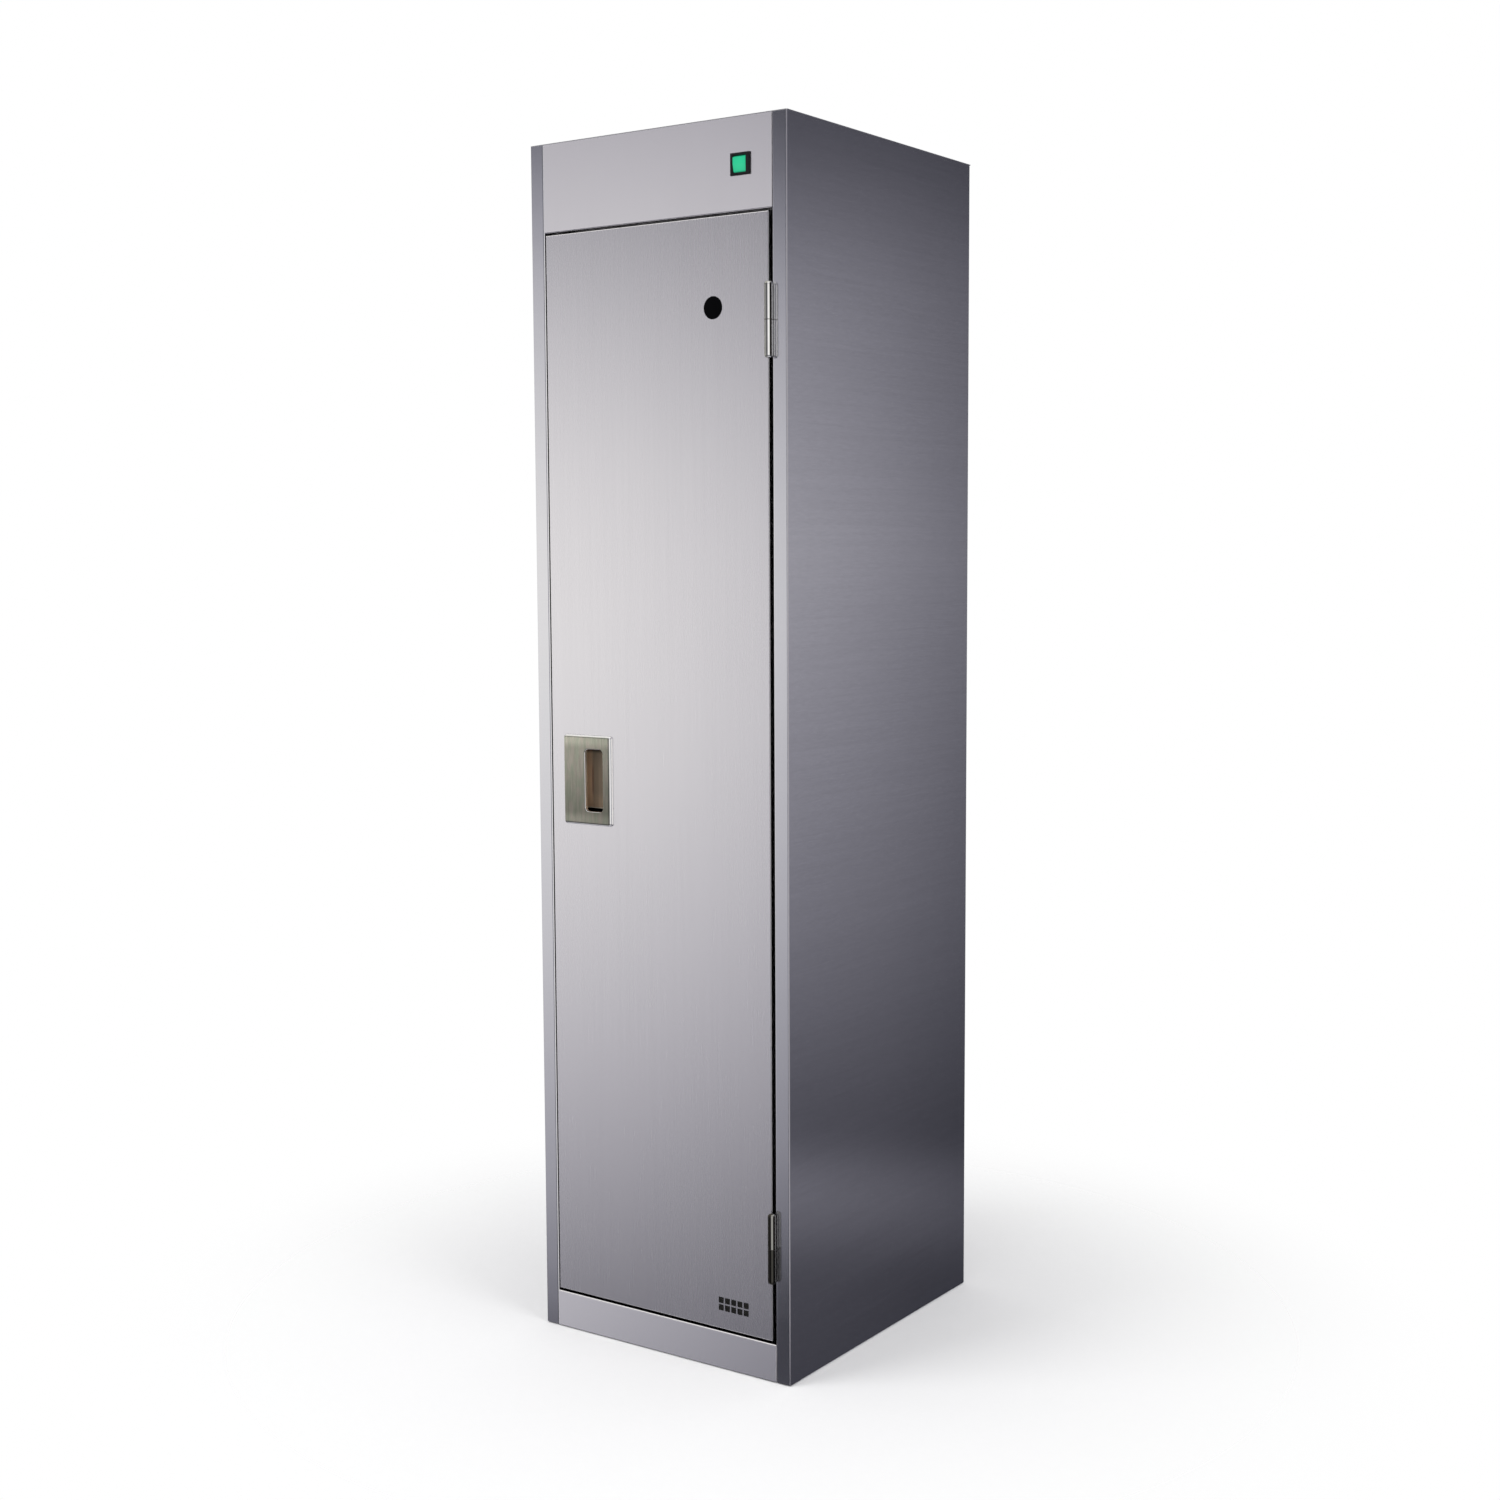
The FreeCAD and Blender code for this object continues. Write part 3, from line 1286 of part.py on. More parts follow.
def lamp_guard():
    """Wire hoops round the tube, joined by three long wires and standing on the back panel."""
    wire, reach = S.lamp_guard_wire_radius, S.lamp_guard_radius
    pieces = []
    levels = row_of(LAMP_GUARD_HOOPS, LAMP_Z, S.lamp_guard_pitch)
    for i, z in enumerate(levels):
        pieces.append(ring(f"lamp_hoop_{i}", (0, LAMP_Y, z), reach, wire, HALF_TURN, HALF_TURN))
        for side in (-1, 1):
            name = f"lamp_hoop_{i}_{'left' if side < 0 else 'right'}"
            pieces.append(rod(name, "y", (side * reach, z), (LAMP_Y, REAR), wire))
    span = (levels[0] - 2 * wire, (levels[-1]) + 2 * wire)
    for name, x, y in (("front", 0, LAMP_Y - reach),
                       ("left", -reach, LAMP_Y),
                       ("right", reach, LAMP_Y)):
        pieces.append(rod(f"lamp_guard_{name}", "z", (x, y), span, wire))
    return join("lamp_guard", *pieces)


# Inside fittings

def hanger_rail():
    """The tube that hangers hook over."""
    end = WALL - S.socket_flange_thickness - S.socket_end_gap
    return tube("hanger_rail", "x", (S.rail_offset_back, RAIL_Z), both(end), S.rail_radius,
                S.rail_radius - S.rail_wall)


def rail_sockets():
    """The flanged cups on the side panels that hold the rail's ends."""
    sockets = []
    centre = (S.rail_offset_back, RAIL_Z)
    for hand, name in ((-1, "left"), (1, "right")):
        def span(near, far):
            places = (hand * near, hand * far)
            return places if hand > 0 else places[::-1]

        seat = WALL - S.socket_flange_thickness
        mouth = WALL - S.socket_cup_length
        flange = rod(f"socket_{name}_flange", "x", centre, span(seat, WALL), S.socket_flange_radius)
        cup = rod(f"socket_{name}_cup", "x", centre, span(mouth, WALL), S.socket_cup_radius)
        bore = rod(f"socket_{name}_bore", "x", centre, span(mouth, seat), S.rail_radius + S.rail_clearance)
        sockets.append(cut(f"rail_socket_{name}", join(f"socket_{name}_blank", flange, cup), bore))
    return group("rail_sockets", *sockets)


def lower_shelf():
    """The slotted shelf, with a lip turned down at the front and the back."""
    under = S.shelf_height - S.gauge
    lip = S.shelf_height - S.shelf_lip
    made = body("lower_shelf")
    pad(made, "shelf_bends", "x", both(SHELF_HALF), polygon(
        (SHELF_FRONT, lip),
        (SHELF_FRONT + S.gauge, lip),
        (SHELF_FRONT + S.gauge, under),
        (SHELF_BACK - S.gauge, under),
        (SHELF_BACK - S.gauge, lip),
        (SHELF_BACK, lip),
        (SHELF_BACK, S.shelf_height),
        (SHELF_FRONT, S.shelf_height),
    ))
    round_off(made, "shelf_outer_bends", S.bend_radius,
              edges_on(made, "x", [(SHELF_FRONT, S.shelf_height), (SHELF_BACK, S.shelf_height)]))
    middle = (SHELF_FRONT + SHELF_BACK) / 2
    slots = [
        rectangle(about(x, S.shelf_slot_width), about(y, S.shelf_slot_length))
        for x in row_of(SHELF_SLOT_COLUMNS, 0, S.shelf_slot_pitch_across)
        for y in row_of(SHELF_SLOT_ROWS, middle, S.shelf_slot_pitch_back)
    ]
    pocket(made, "shelf_slots", "z", (under, S.shelf_height), *slots)
    return made


def shelf_clips():
    """Ledges on the side panels that the shelf rests on."""
    z = (S.shelf_height - S.gauge - S.clip_height, S.shelf_height - S.gauge)
    clips = []
    for hand in (-1, 1):
        near, far = hand * (WALL - S.clip_reach), hand * WALL
        x, side = ((near, far), "right") if hand > 0 else ((far, near), "left")
        for i, y in enumerate((SHELF_FRONT + S.clip_inset, SHELF_BACK - S.clip_inset)):
            clips.append(box(f"shelf_clip_{side}_{i}", x, about(y, S.clip_width), z))
    return group("shelf_clips", *clips)


# Door interlock

def interlock_switch():
    """The switch that cuts the lamp when the door opens, under the ceiling panel behind the header's stop."""
    made = body("interlock_switch")
    end = STOP_BACK + S.interlock_depth
    bore_end = PLUNGER_TIP + S.plunger_length + S.plunger_end_gap
    pad(made, "interlock_case", "y", (STOP_BACK, end),
        rectangle(about(PLUNGER_X, S.interlock_width), (HEADER - S.interlock_height, HEADER)))
    pocket(made, "interlock_bore", "y", (STOP_BACK, bore_end),
           circle(PLUNGER_X, PLUNGER_Z, S.plunger_radius + S.plunger_clearance))
    return made


def interlock_plunger():
    """The plunger that the shut door holds in."""
    made = body("interlock_plunger")
    pad(made, "plunger_stem", "y", (PLUNGER_TIP, PLUNGER_TIP + S.plunger_length),
        circle(PLUNGER_X, PLUNGER_Z, S.plunger_radius))
    round_off(made, "plunger_tip", S.plunger_tip_round, rim_edges(made, "y", PLUNGER_TIP))
    return made


# Electrical bay

def ballast():
    """The lamp ballast, on its two feet."""
    x, y = BALLAST_X, S.ballast_offset_back
    case = box("ballast_case", about(x, S.ballast_width), about(y, S.ballast_length),
               (BAY_FLOOR, BAY_FLOOR + S.ballast_height))
    feet = box("ballast_feet", about(x, S.ballast_width), about(y, S.ballast_length + 2 * S.ballast_foot),
               (BAY_FLOOR, BAY_FLOOR + S.ballast_foot_thickness))
    return join("ballast", case, feet)


def terminal_block():
    """The strip that the leads are joined in, with its screw wells."""
    x, y, top = TERMINAL_X, S.terminal_offset_back, BAY_FLOOR + S.terminal_height
    made = body("terminal_block")
    pad(made, "terminal_case", "z", (BAY_FLOOR, top),
        rectangle(about(x, S.terminal_width), about(y, S.terminal_depth)))
    wells = [
        circle(place, y, S.terminal_screw_radius)
        for place in row_of(TERMINAL_WAYS, x, S.terminal_pitch)
    ]
    pocket(made, "terminal_wells", "z", (top - S.terminal_screw_depth, top), *wells)
    return made


def timer_module():
    """The timer that sets how long a cycle lasts, on its base."""
    x, y = TIMER_X, S.timer_offset_back
    ledge = BAY_FLOOR + S.timer_base_thickness
    base = box("timer_base", about(x, S.timer_width + 2 * S.timer_base_margin),
               about(y, S.timer_depth + 2 * S.timer_base_margin), (BAY_FLOOR, ledge))
    case = box("timer_case", about(x, S.timer_width), about(y, S.timer_depth),
               (ledge, BAY_FLOOR + S.timer_height))
    return join("timer_module", base, case)


# Leads

def lead(name, *corners):
    """A round lead along straight runs between corners, with the same bend at each corner."""
    points = [Vector(*[float(place) for place in corner]) for corner in corners]
    radius = float(S.lead_bend)
    edges = []
    start = points[0]
    for before, corner, after in zip(points, points[1:], points[2:]):
        inward, outward = (corner - before).normalize(), (after - corner).normalize()
        half_turn = inward.getAngle(outward) / 2
        setback = radius * math.tan(half_turn)
        middle = corner + (outward - inward).normalize() * (radius / math.cos(half_turn) - radius)
        arc_start, arc_end = corner - inward * setback, corner + outward * setback
        edges.append(Part.LineSegment(start, arc_start).toShape())
        edges.append(Part.Arc(arc_start, middle, arc_end).toShape())
        start = arc_end
    edges.append(Part.LineSegment(start, points[-1]).toShape())
    section = Part.Wire(Part.makeCircle(float(S.lead_radius), points[0], points[1] - points[0]))
    made = doc.addObject("Part::Feature", name)
    made.Shape = Part.Wire(edges).makePipeShell([section], True, False)
    made.Placement = Placement()
    return made


def supply_lead():
    """From the inlet to the terminal block."""
    x, y = TERMINAL_X, S.terminal_offset_back + S.terminal_depth / 2
    start = BACK - S.inlet_body_depth
    turn = (start + y) / 2
    return lead("supply_lead", (INLET_X, start, INLET_Z), (INLET_X, turn, INLET_Z), (x, turn, TERMINAL_Z),
                (x, y, TERMINAL_Z))


def switch_lead():
    """From a plug on the switch's tabs, round the fan to the terminal block."""
    tabs = FRONT + S.switch_body_depth + S.tab_length
    start = tabs + S.switch_plug_depth
    x, y = TERMINAL_X + SWITCH_LEAD_WAYS * S.terminal_pitch, S.terminal_offset_back - S.terminal_depth / 2
    plug = box("switch_plug", about(SWITCH_X, S.switch_plug_side), (tabs, start),
               about(SWITCH_Z, S.switch_plug_side))
    cable = lead(
        "switch_cable",
        (SWITCH_X, start, SWITCH_Z),
        (SWITCH_X, start + S.lead_step, SWITCH_Z),
        (SIDE_LANE, start + S.lead_step, TERMINAL_Z),
        (SIDE_LANE, BACK_LANE, TERMINAL_Z),
        (x, BACK_LANE, TERMINAL_Z),
        (x, y, TERMINAL_Z),
    )
    return join("switch_lead", plug, cable)


def fan_lead():
    """From the terminal block, over the switch's lead, to the back of the fan."""
    start, y = TERMINAL_X + S.terminal_width / 2, S.terminal_offset_back
    fan_z = FAN_TOP - S.fan_strut_height - S.lead_radius
    return lead(
        "fan_lead",
        (start, y, TERMINAL_Z),
        (start + S.lead_step, y, TERMINAL_Z),
        (start + S.fan_lead_run, y, fan_z),
        (start + S.fan_lead_run, S.fan_offset_back + S.fan_side / 2, fan_z),
    )


def lamp_lead():
    """From the ballast, over the other leads and down through the ceiling panel into the lamp base."""
    x, y = BALLAST_X, S.ballast_offset_back + S.ballast_length / 2
    lane = -SIDE_LANE
    return lead(
        "lamp_lead",
        (x, y, BAY_FLOOR + S.ballast_height / 2),
        (x, y + S.lead_step, BAY_FLOOR + S.ballast_height / 2),
        (lane, y + S.lamp_lead_climb, LANE_Z),
        (lane, y + S.lamp_lead_run, LANE_Z),
        (*LAMP_LEAD, LANE_Z),
        (*LAMP_LEAD, LAMP_BASE_SPAN[1] - S.lead_tail),
    )


def interlock_lead():
    """From the interlock up through the ceiling panel, past the ballast to the terminal block."""
    end, y = TERMINAL_X - S.terminal_width / 2, S.terminal_offset_back
    return lead(
        "interlock_lead",
        (*INTERLOCK_LEAD, HEADER),
        (*INTERLOCK_LEAD, LANE_Z),
        (WALL_LANE, INTERLOCK_LEAD[1] + S.lead_step, LANE_Z),
        (WALL_LANE, y, TERMINAL_Z),
        (end, y, TERMINAL_Z),
    )


# Build

def build():
    """Every sub-part of the locker, in the order that it is put together."""
    return [
        side_panel("left_side_panel", -1),
        side_panel("right_side_panel", 1),
        back_panel(),
        back_panel_screws(),
        top_panel(),
        header_panel(),
        kick_plate(),
        floor_panel(),
        ceiling_panel(),
        base_corner_plates(),
        foot_pads(),
        door_seal(),
        door_skin(),
        door_inner_panel(),
        door_stiffener(),
        sight_window(),
        window_sleeve(),
        vent_filter(),
        handle_plate(),
        handle_cup(),
        handle_nuts(),
        catch_strikes(),
        magnet_catch("magnet_catch_upper", CATCH_PLACES[0]),
        magnet_catch("magnet_catch_lower", CATCH_PLACES[1]),
        *hinge("upper", UPPER_HINGE_Z),
        *hinge("lower", LOWER_HINGE_Z),
        switch_bezel(),
        switch_rocker(),
        switch_terminals(),
        power_inlet(),
        inlet_pins(),
        fan_frame(),
        fan_rotor(),
        fan_guard(),
        fan_screws(),
        lamp_base(),
        lamp_holders(),
        lamp_tube(),
        lamp_caps(),
        lamp_guard(),
        hanger_rail(),
        rail_sockets(),
        lower_shelf(),
        shelf_clips(),
        interlock_switch(),
        interlock_plunger(),
        ballast(),
        terminal_block(),
        timer_module(),
        supply_lead(),
        switch_lead(),
        fan_lead(),
        lamp_lead(),
        interlock_lead(),
    ]


def check(subparts):
    """Stops the build if a feature failed or a sub-part isn't a sound solid."""
    failed = [o.Label for o in doc.Objects if {"Invalid", "Error"} & set(o.State)]
    unsound = [o.Label for o in subparts if o.Shape.isNull() or not o.Shape.isValid() or not o.Shape.Solids]
    if failed or unsound:
        raise ValueError(f"failed features: {failed}; unsound sub-parts: {unsound}")


def export(subparts):
    """Writes each sub-part's shape to its own file."""
    os.makedirs("parts", exist_ok=True)
    for subpart in subparts:
        subpart.Shape.exportStep(f"parts/{subpart.Label}.step")
        print(subpart.Label, len(subpart.Shape.Solids), round(subpart.Shape.Volume))


locker = build()
doc.recompute()
check(locker)
export(locker)
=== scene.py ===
"""Looks of the sterilizing locker: a stainless cabinet with one door, a lit switch and a germicidal lamp."""

from __future__ import annotations

import logging
import math
from dataclasses import dataclass, field
from enum import Enum
from typing import Any, Callable, Iterable, Sequence, Union

import bmesh
import bpy
from mathutils import Matrix, Vector, noise

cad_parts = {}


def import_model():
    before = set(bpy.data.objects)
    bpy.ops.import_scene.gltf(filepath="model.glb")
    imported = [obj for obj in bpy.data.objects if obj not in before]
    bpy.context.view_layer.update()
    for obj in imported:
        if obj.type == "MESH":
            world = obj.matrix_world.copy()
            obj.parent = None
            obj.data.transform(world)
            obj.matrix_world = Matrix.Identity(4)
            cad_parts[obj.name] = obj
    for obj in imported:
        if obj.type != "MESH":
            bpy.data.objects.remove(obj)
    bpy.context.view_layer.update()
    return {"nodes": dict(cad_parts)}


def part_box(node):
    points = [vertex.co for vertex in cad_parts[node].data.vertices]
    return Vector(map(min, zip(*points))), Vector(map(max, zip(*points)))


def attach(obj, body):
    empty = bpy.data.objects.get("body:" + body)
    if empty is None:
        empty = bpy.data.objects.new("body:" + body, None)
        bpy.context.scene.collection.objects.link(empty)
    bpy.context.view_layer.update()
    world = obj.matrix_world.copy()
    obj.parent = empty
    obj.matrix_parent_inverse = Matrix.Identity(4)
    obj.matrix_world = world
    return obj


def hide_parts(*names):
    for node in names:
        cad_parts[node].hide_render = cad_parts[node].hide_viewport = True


LOG = logging.getLogger("sterilizing_locker")

Colour = tuple[float, float, float]
Triple = tuple[float, float, float]
Span = tuple[float, float]
Stops = tuple[Span, ...]
Signal = Union["Wire", float, Sequence[float]]

MM = 0.001
HALF = 0.5
FULL_TURN = 2 * math.pi
DEGREES_ROUND = 360
UPRIGHT_DEGREES = 90
SOFT_EDGE = math.radians(35)
WELD = 0.01 * MM
RIDGE_GAIN = 4


# Shader arithmetic

class Wire:
    """An output socket that sums and products can be written on."""

    def __init__(self, bench: NodeBench, socket: bpy.types.NodeSocket) -> None:
        """Keeps the socket and the bench that its nodes stand on."""
        self.bench = bench
        self.socket = socket

    @property
    def kind(self) -> str:
        """VALUE, VECTOR or RGBA, as Blender names it."""
        return self.socket.type

    def __add__(self, other: Signal) -> Wire:
        """This plus another."""
        return self.bench.combine("ADD", self, other)

    def __radd__(self, other: Signal) -> Wire:
        """Another plus this."""
        return self.bench.combine("ADD", other, self)

    def __sub__(self, other: Signal) -> Wire:
        """This less another."""
        return self.bench.combine("SUBTRACT", self, other)

    def __rsub__(self, other: Signal) -> Wire:
        """Another less this."""
        return self.bench.combine("SUBTRACT", other, self)

    def __mul__(self, other: Signal) -> Wire:
        """This times another."""
        return self.bench.combine("MULTIPLY", self, other)

    def __rmul__(self, other: Signal) -> Wire:
        """Another times this."""
        return self.bench.combine("MULTIPLY", other, self)

    def __truediv__(self, other: Signal) -> Wire:
        """This over another."""
        return self.bench.combine("DIVIDE", self, other)

    def __abs__(self) -> Wire:
        """The size of this, without its sign."""
        return self.bench.math("ABSOLUTE", self)

    def swing(self, reach: float) -> Wire:
        """A texture about one half, as a rise and fall about zero."""
        return (self - HALF) * reach

    def ridge(self) -> Wire:
        """A ridge of 1 half way up this rise from 0 to 1."""
        return self * (1 - self) * RIDGE_GAIN


class NodeBench:
    """The node tree of one material or world, and the few ways that nodes are laid in it."""

    MIX_SOCKETS = {"RGBA": (6, 7, 2), "VALUE": (2, 3, 0)}

    def __init__(self, tree: bpy.types.NodeTree) -> None:
        """Clears the tree."""
        tree.nodes.clear()
        self.tree = tree

    def node(self, kind: str, settings: dict[str, Any] | None = None,
             inputs: dict[str | int, Any] | None = None) -> bpy.types.Node:
        """Adds a node.

        Args:
            kind: Blender's name for the node.
            settings: What is set on the node first; "stops" are a ramp's places and greys.
            inputs: A value or a wire for each socket, by name or number.

        Returns:
            The node.
        """
        made = self.tree.nodes.new(kind)
        for name, value in (settings or {}).items():
            if name == "stops":
                self._set_stops(made.color_ramp, value)
            else:
                setattr(made, name, value)
        for name, value in (inputs or {}).items():
            self.feed(made.inputs[name], value)
        return made

    @staticmethod
    def _set_stops(ramp: bpy.types.ColorRamp, stops: Sequence[Span]) -> None:
        """Gives a ramp grey stops.

        Args:
            ramp: The ramp.
            stops: A place and a brightness each, in rising order.
        """
        while len(ramp.elements) < len(stops):
            ramp.elements.new(1.0)
        for element, (place, grey) in zip(ramp.elements, stops):
            element.position = place
            element.color = (grey, grey, grey, 1.0)

    def feed(self, socket: bpy.types.NodeSocket, value: Any) -> None:
        """Links a wire to a socket, or sets a plain value on it.

        Args:
            socket: A node's input.
            value: A wire, a number, a colour or a vector.
        """
        if isinstance(value, Wire):
            self.tree.links.new(value.socket, socket)
        elif socket.type == "RGBA" and len(value) == 3:
            socket.default_value = (*value, 1.0)
        else:
            socket.default_value = value

    def wire(self, node: bpy.types.Node, output: str | int = 0) -> Wire:
        """One of a node's outputs."""
        return Wire(self, node.outputs[output])

    def math(self, operation: str, *values: Signal) -> Wire:
        """A Math node on values."""
        return self.wire(self.node("ShaderNodeMath", {"operation": operation}, dict(enumerate(values))))

    def vector(self, operation: str, *values: Signal, output: str | int = 0) -> Wire:
        """A Vector Math node on vectors."""
        made = self.node("ShaderNodeVectorMath", {"operation": operation}, dict(enumerate(values)))
        return self.wire(made, output)

    def combine(self, operation: str, first: Signal, second: Signal) -> Wire:
        """Arithmetic on two signals.

        Args:
            operation: ADD, SUBTRACT, MULTIPLY or DIVIDE.
            first: A wire or a plain value.
            second: A wire or a plain value.

        Returns:
            The result, as a colour or a vector where either signal is one.
        """
        kinds = {value.kind for value in (first, second) if isinstance(value, Wire)}
        if "RGBA" in kinds:
            a, b, result = self.MIX_SOCKETS["RGBA"]
            settings = {"data_type": "RGBA", "blend_type": operation}
            return self.wire(self.node("ShaderNodeMix", settings, {0: 1.0, a: first, b: second}), result)
        if "VECTOR" in kinds:
            first, second = ((v,) * 3 if isinstance(v, (int, float)) else v for v in (first, second))
            return self.vector(operation, first, second)
        return self.math(operation, first, second)

    def blend(self, factor: Signal, first: Signal, second: Signal) -> Wire:
        """One signal turning into another.

        Args:
            factor: 0 for the first, 1 for the second.
            first: A colour or a value.
            second: A colour or a value.

        Returns:
            The blend.
        """
        coloured = any(
            value.kind == "RGBA" if isinstance(value, Wire) else isinstance(value, tuple)
            for value in (first, second)
        )
        a, b, result = self.MIX_SOCKETS["RGBA" if coloured else "VALUE"]
        settings = {"data_type": "RGBA" if coloured else "FLOAT"}
        return self.wire(self.node("ShaderNodeMix", settings, {0: factor, a: first, b: second}), result)

    def shades(self, factor: Wire, colour: Colour, span: Span) -> Wire:
        """A colour going from one of its shades to another."""
        return self.blend(factor, *(tuple(channel * shade for channel in colour) for shade in span))

    def place(self) -> Wire:
        """The place on the object, in its own frame, in metres."""
        return self.wire(self.node("ShaderNodeTexCoord"), "Object")

    def facing(self) -> Wire:
        """The way that the surface faces, in the object's own frame."""
        return self.wire(self.node("ShaderNodeTexCoord"), "Normal")

    def part(self, vector: Wire, letter: str) -> Wire:
        """One component of a vector."""
        return self.wire(self.node("ShaderNodeSeparateXYZ", None, {0: vector}), letter)

    def noise(self, vector: Wire, scale: float = 1.0, detail: float = 2.0, roughness: float = 0.5) -> Wire:
        """Smooth noise about one half."""
        inputs = {"Vector": vector, "Scale": scale, "Detail": detail, "Roughness": roughness}
        return self.wire(self.node("ShaderNodeTexNoise", None, inputs))

    def cells(self, vector: Wire, scale: float) -> Wire:
        """How far each point lies from the middle of its cell."""
        return self.wire(self.node("ShaderNodeTexVoronoi", None, {"Vector": vector, "Scale": scale}))

    def grey_ramp(self, factor: Wire, stops: Sequence[Span]) -> Wire:
        """A ramp of values."""
        ramp = self.wire(self.node("ShaderNodeValToRGB", {"stops": stops}, {0: factor}))
        return self.wire(self.node("ShaderNodeRGBToBW", None, {0: ramp}))

    def step(self, value: Wire, low: float, high: float) -> Wire:
        """A smooth rise from 0 at the low value to 1 at the high one."""
        inputs = {"Value": value, "From Min": low, "From Max": high}
        return self.wire(self.node("ShaderNodeMapRange", {"interpolation_type": "SMOOTHSTEP"}, inputs))

    def bump(self, height: Wire) -> Wire:
        """The normal over a relief whose height is in metres."""
        inputs = {"Strength": 1.0, "Distance": 1.0, "Height": height}
        return self.wire(self.node("ShaderNodeBump", None, inputs))

    def shader(self, kind: str, inputs: dict[str | int, Any]) -> Wire:
        """A shader node."""
        return self.wire(self.node(kind, None, inputs))

    def mix(self, factor: Wire, first: Wire, second: Wire) -> Wire:
        """One shader turning into another."""
        return self.shader("ShaderNodeMixShader", {0: factor, 1: first, 2: second})

    def surface(self, inputs: dict[str | int, Any]) -> None:
        """Finishes a material with one principled surface."""
        self.output("ShaderNodeOutputMaterial", self.shader("ShaderNodeBsdfPrincipled", inputs))

    def output(self, kind: str, shader: Wire) -> None:
        """Links a shader to the output node."""
        self.node(kind, None, {"Surface": shader})


# Finishes

@dataclass(frozen=True)
class Finish:
    """A surface of the locker, by name."""

    name: str

    def lay(self, bench: NodeBench) -> None:
        """Lays the finish's nodes on a bench."""
        raise NotImplementedError

    def material(self) -> bpy.types.Material:
        """Finds the finish's material, or makes it.

        Returns:
            The one material of this name.
        """
        found = bpy.data.materials.get(self.name)
        if found is None:
            found = bpy.data.materials.new(self.name)
            found.use_nodes = True
            self.lay(NodeBench(found.node_tree))
        return found


class Grain(Enum):
    """Which way a sheet is brushed."""

    UPRIGHT = "along z"
    LEVEL = "along x and y"
    BACKWARDS = "along y"

    def stretch(self, rates: Span) -> Triple:
        """How often a texture repeats in a metre each way.

        Args:
            rates: How often along the grain, and across it.

        Returns:
            How often along x, y and z.
        """
        along, across = rates
        ways = {
            Grain.UPRIGHT: (across, across, along),
            Grain.LEVEL: (along, along, across),
            Grain.BACKWARDS: (across, along, across),
        }
        return ways[self]


@dataclass(frozen=True)
class SheetSteel(Finish):
    """Brushed stainless sheet, with hairlines, streaks and clouds, a little uneven and out of true."""

    tint: Colour = (0.70, 0.69, 0.69)
    roughness: float = 0.36
    grain: Grain = Grain.UPRIGHT
    contrast: float = 0.10
    unevenness: float = 0.10 * MM
    waves: Triple = (2.0, 2.0, 3.0)
    anisotropy: float = 0.0
    lean: Span = (0.0, 0.0)
    hairlines: Span = (14.0, 1900.0)
    hairline_depth: float = 0.0007 * MM
    hairline_share: float = 0.4
    hairline_gloss: float = 0.08
    streaks: Span = (2.2, 170.0)
    streak_share: float = 0.3
    clouds: float = 3.1
    cloud_share: float = 0.3
    cloud_gloss: float = 0.06

    def textures(self, bench: NodeBench) -> tuple[Wire, Wire, Wire, Wire]:
        """Lays the textures that the sheet is made of.

        Args:
            bench: Where the nodes go.

        Returns:
            Hairlines, streaks and clouds, each about one half, and the sheet's height in metres.
        """
        place = bench.place()
        hairline = bench.noise(place * self.grain.stretch(self.hairlines), detail=2.0, roughness=0.6)
        streak = bench.noise(place * self.grain.stretch(self.streaks), detail=4.0, roughness=0.62)
        cloud = bench.noise(place, scale=self.clouds, detail=3.0)
        wave = bench.noise(place * self.waves, detail=1.0)
        height = hairline * self.hairline_depth + wave * self.unevenness
        for letter, slope in zip("XZ", self.lean):
            if slope:
                height = height + bench.part(place, letter) * slope
        return hairline, streak, cloud, height

    def tone(self, hairline: Wire, streak: Wire, cloud: Wire) -> Wire:
        """Where the sheet is lighter and darker."""
        return hairline * self.hairline_share + streak * self.streak_share + cloud * self.cloud_share

    def brushed(self, bench: NodeBench, tone: Wire) -> Wire:
        """The tint, lighter and darker by the tone."""
        return bench.shades(tone, self.tint, (1 - self.contrast, 1 + self.contrast))

    def gloss(self, rough: Signal, hairline: Wire, cloud: Wire) -> Wire:
        """A roughness that follows the hairlines and clouds."""
        return rough + hairline.swing(self.hairline_gloss) + cloud.swing(self.cloud_gloss)

    def roll(self, bench: NodeBench, colour: Wire, rough: Wire, height: Wire) -> None:
        """Finishes the sheet's material.

        Args:
            bench: Where the nodes go.
            colour: The metal's colour.
            rough: Its roughness.
            height: Its relief in metres.
        """
        bench.surface({
            "Base Color": colour,
            "Metallic": 1.0,
            "Roughness": rough,
            "Anisotropic": self.anisotropy,
            "Normal": bench.bump(height),
        })

    def with_painted_shade(self, bench: NodeBench, colour: Wire) -> Wire:
        """The sheet's colour with its painted shade, of which a plain sheet has none."""
        return colour

    def lay(self, bench: NodeBench) -> None:
        """Lays the sheet's nodes.

        Args:
            bench: Where they go.
        """
        hairline, streak, cloud, height = self.textures(bench)
        colour = self.brushed(bench, self.tone(hairline, streak, cloud))
        self.roll(bench, self.with_painted_shade(bench, colour), self.gloss(self.roughness, hairline, cloud), height)


@dataclass(frozen=True)
class DoorSteel(SheetSteel):
    """The door's outer sheet, with painted shade where it bends back beside the hinges."""

    # Painted shade: the bend beside the hinges is darkened, standing in for the shade of the gap and hiding
    # its highlight.
    bend_shade_tint: Colour = (0.22, 0.22, 0.23)
    bend_facing: Span = (0.25, 0.95)

    def with_painted_shade(self, bench: NodeBench, colour: Wire) -> Wire:
        """The sheet's colour with painted shade on its bend."""
        side = bench.step(bench.part(bench.facing(), "X"), *self.bend_facing)
        return bench.blend(side.ridge(), colour, self.bend_shade_tint)


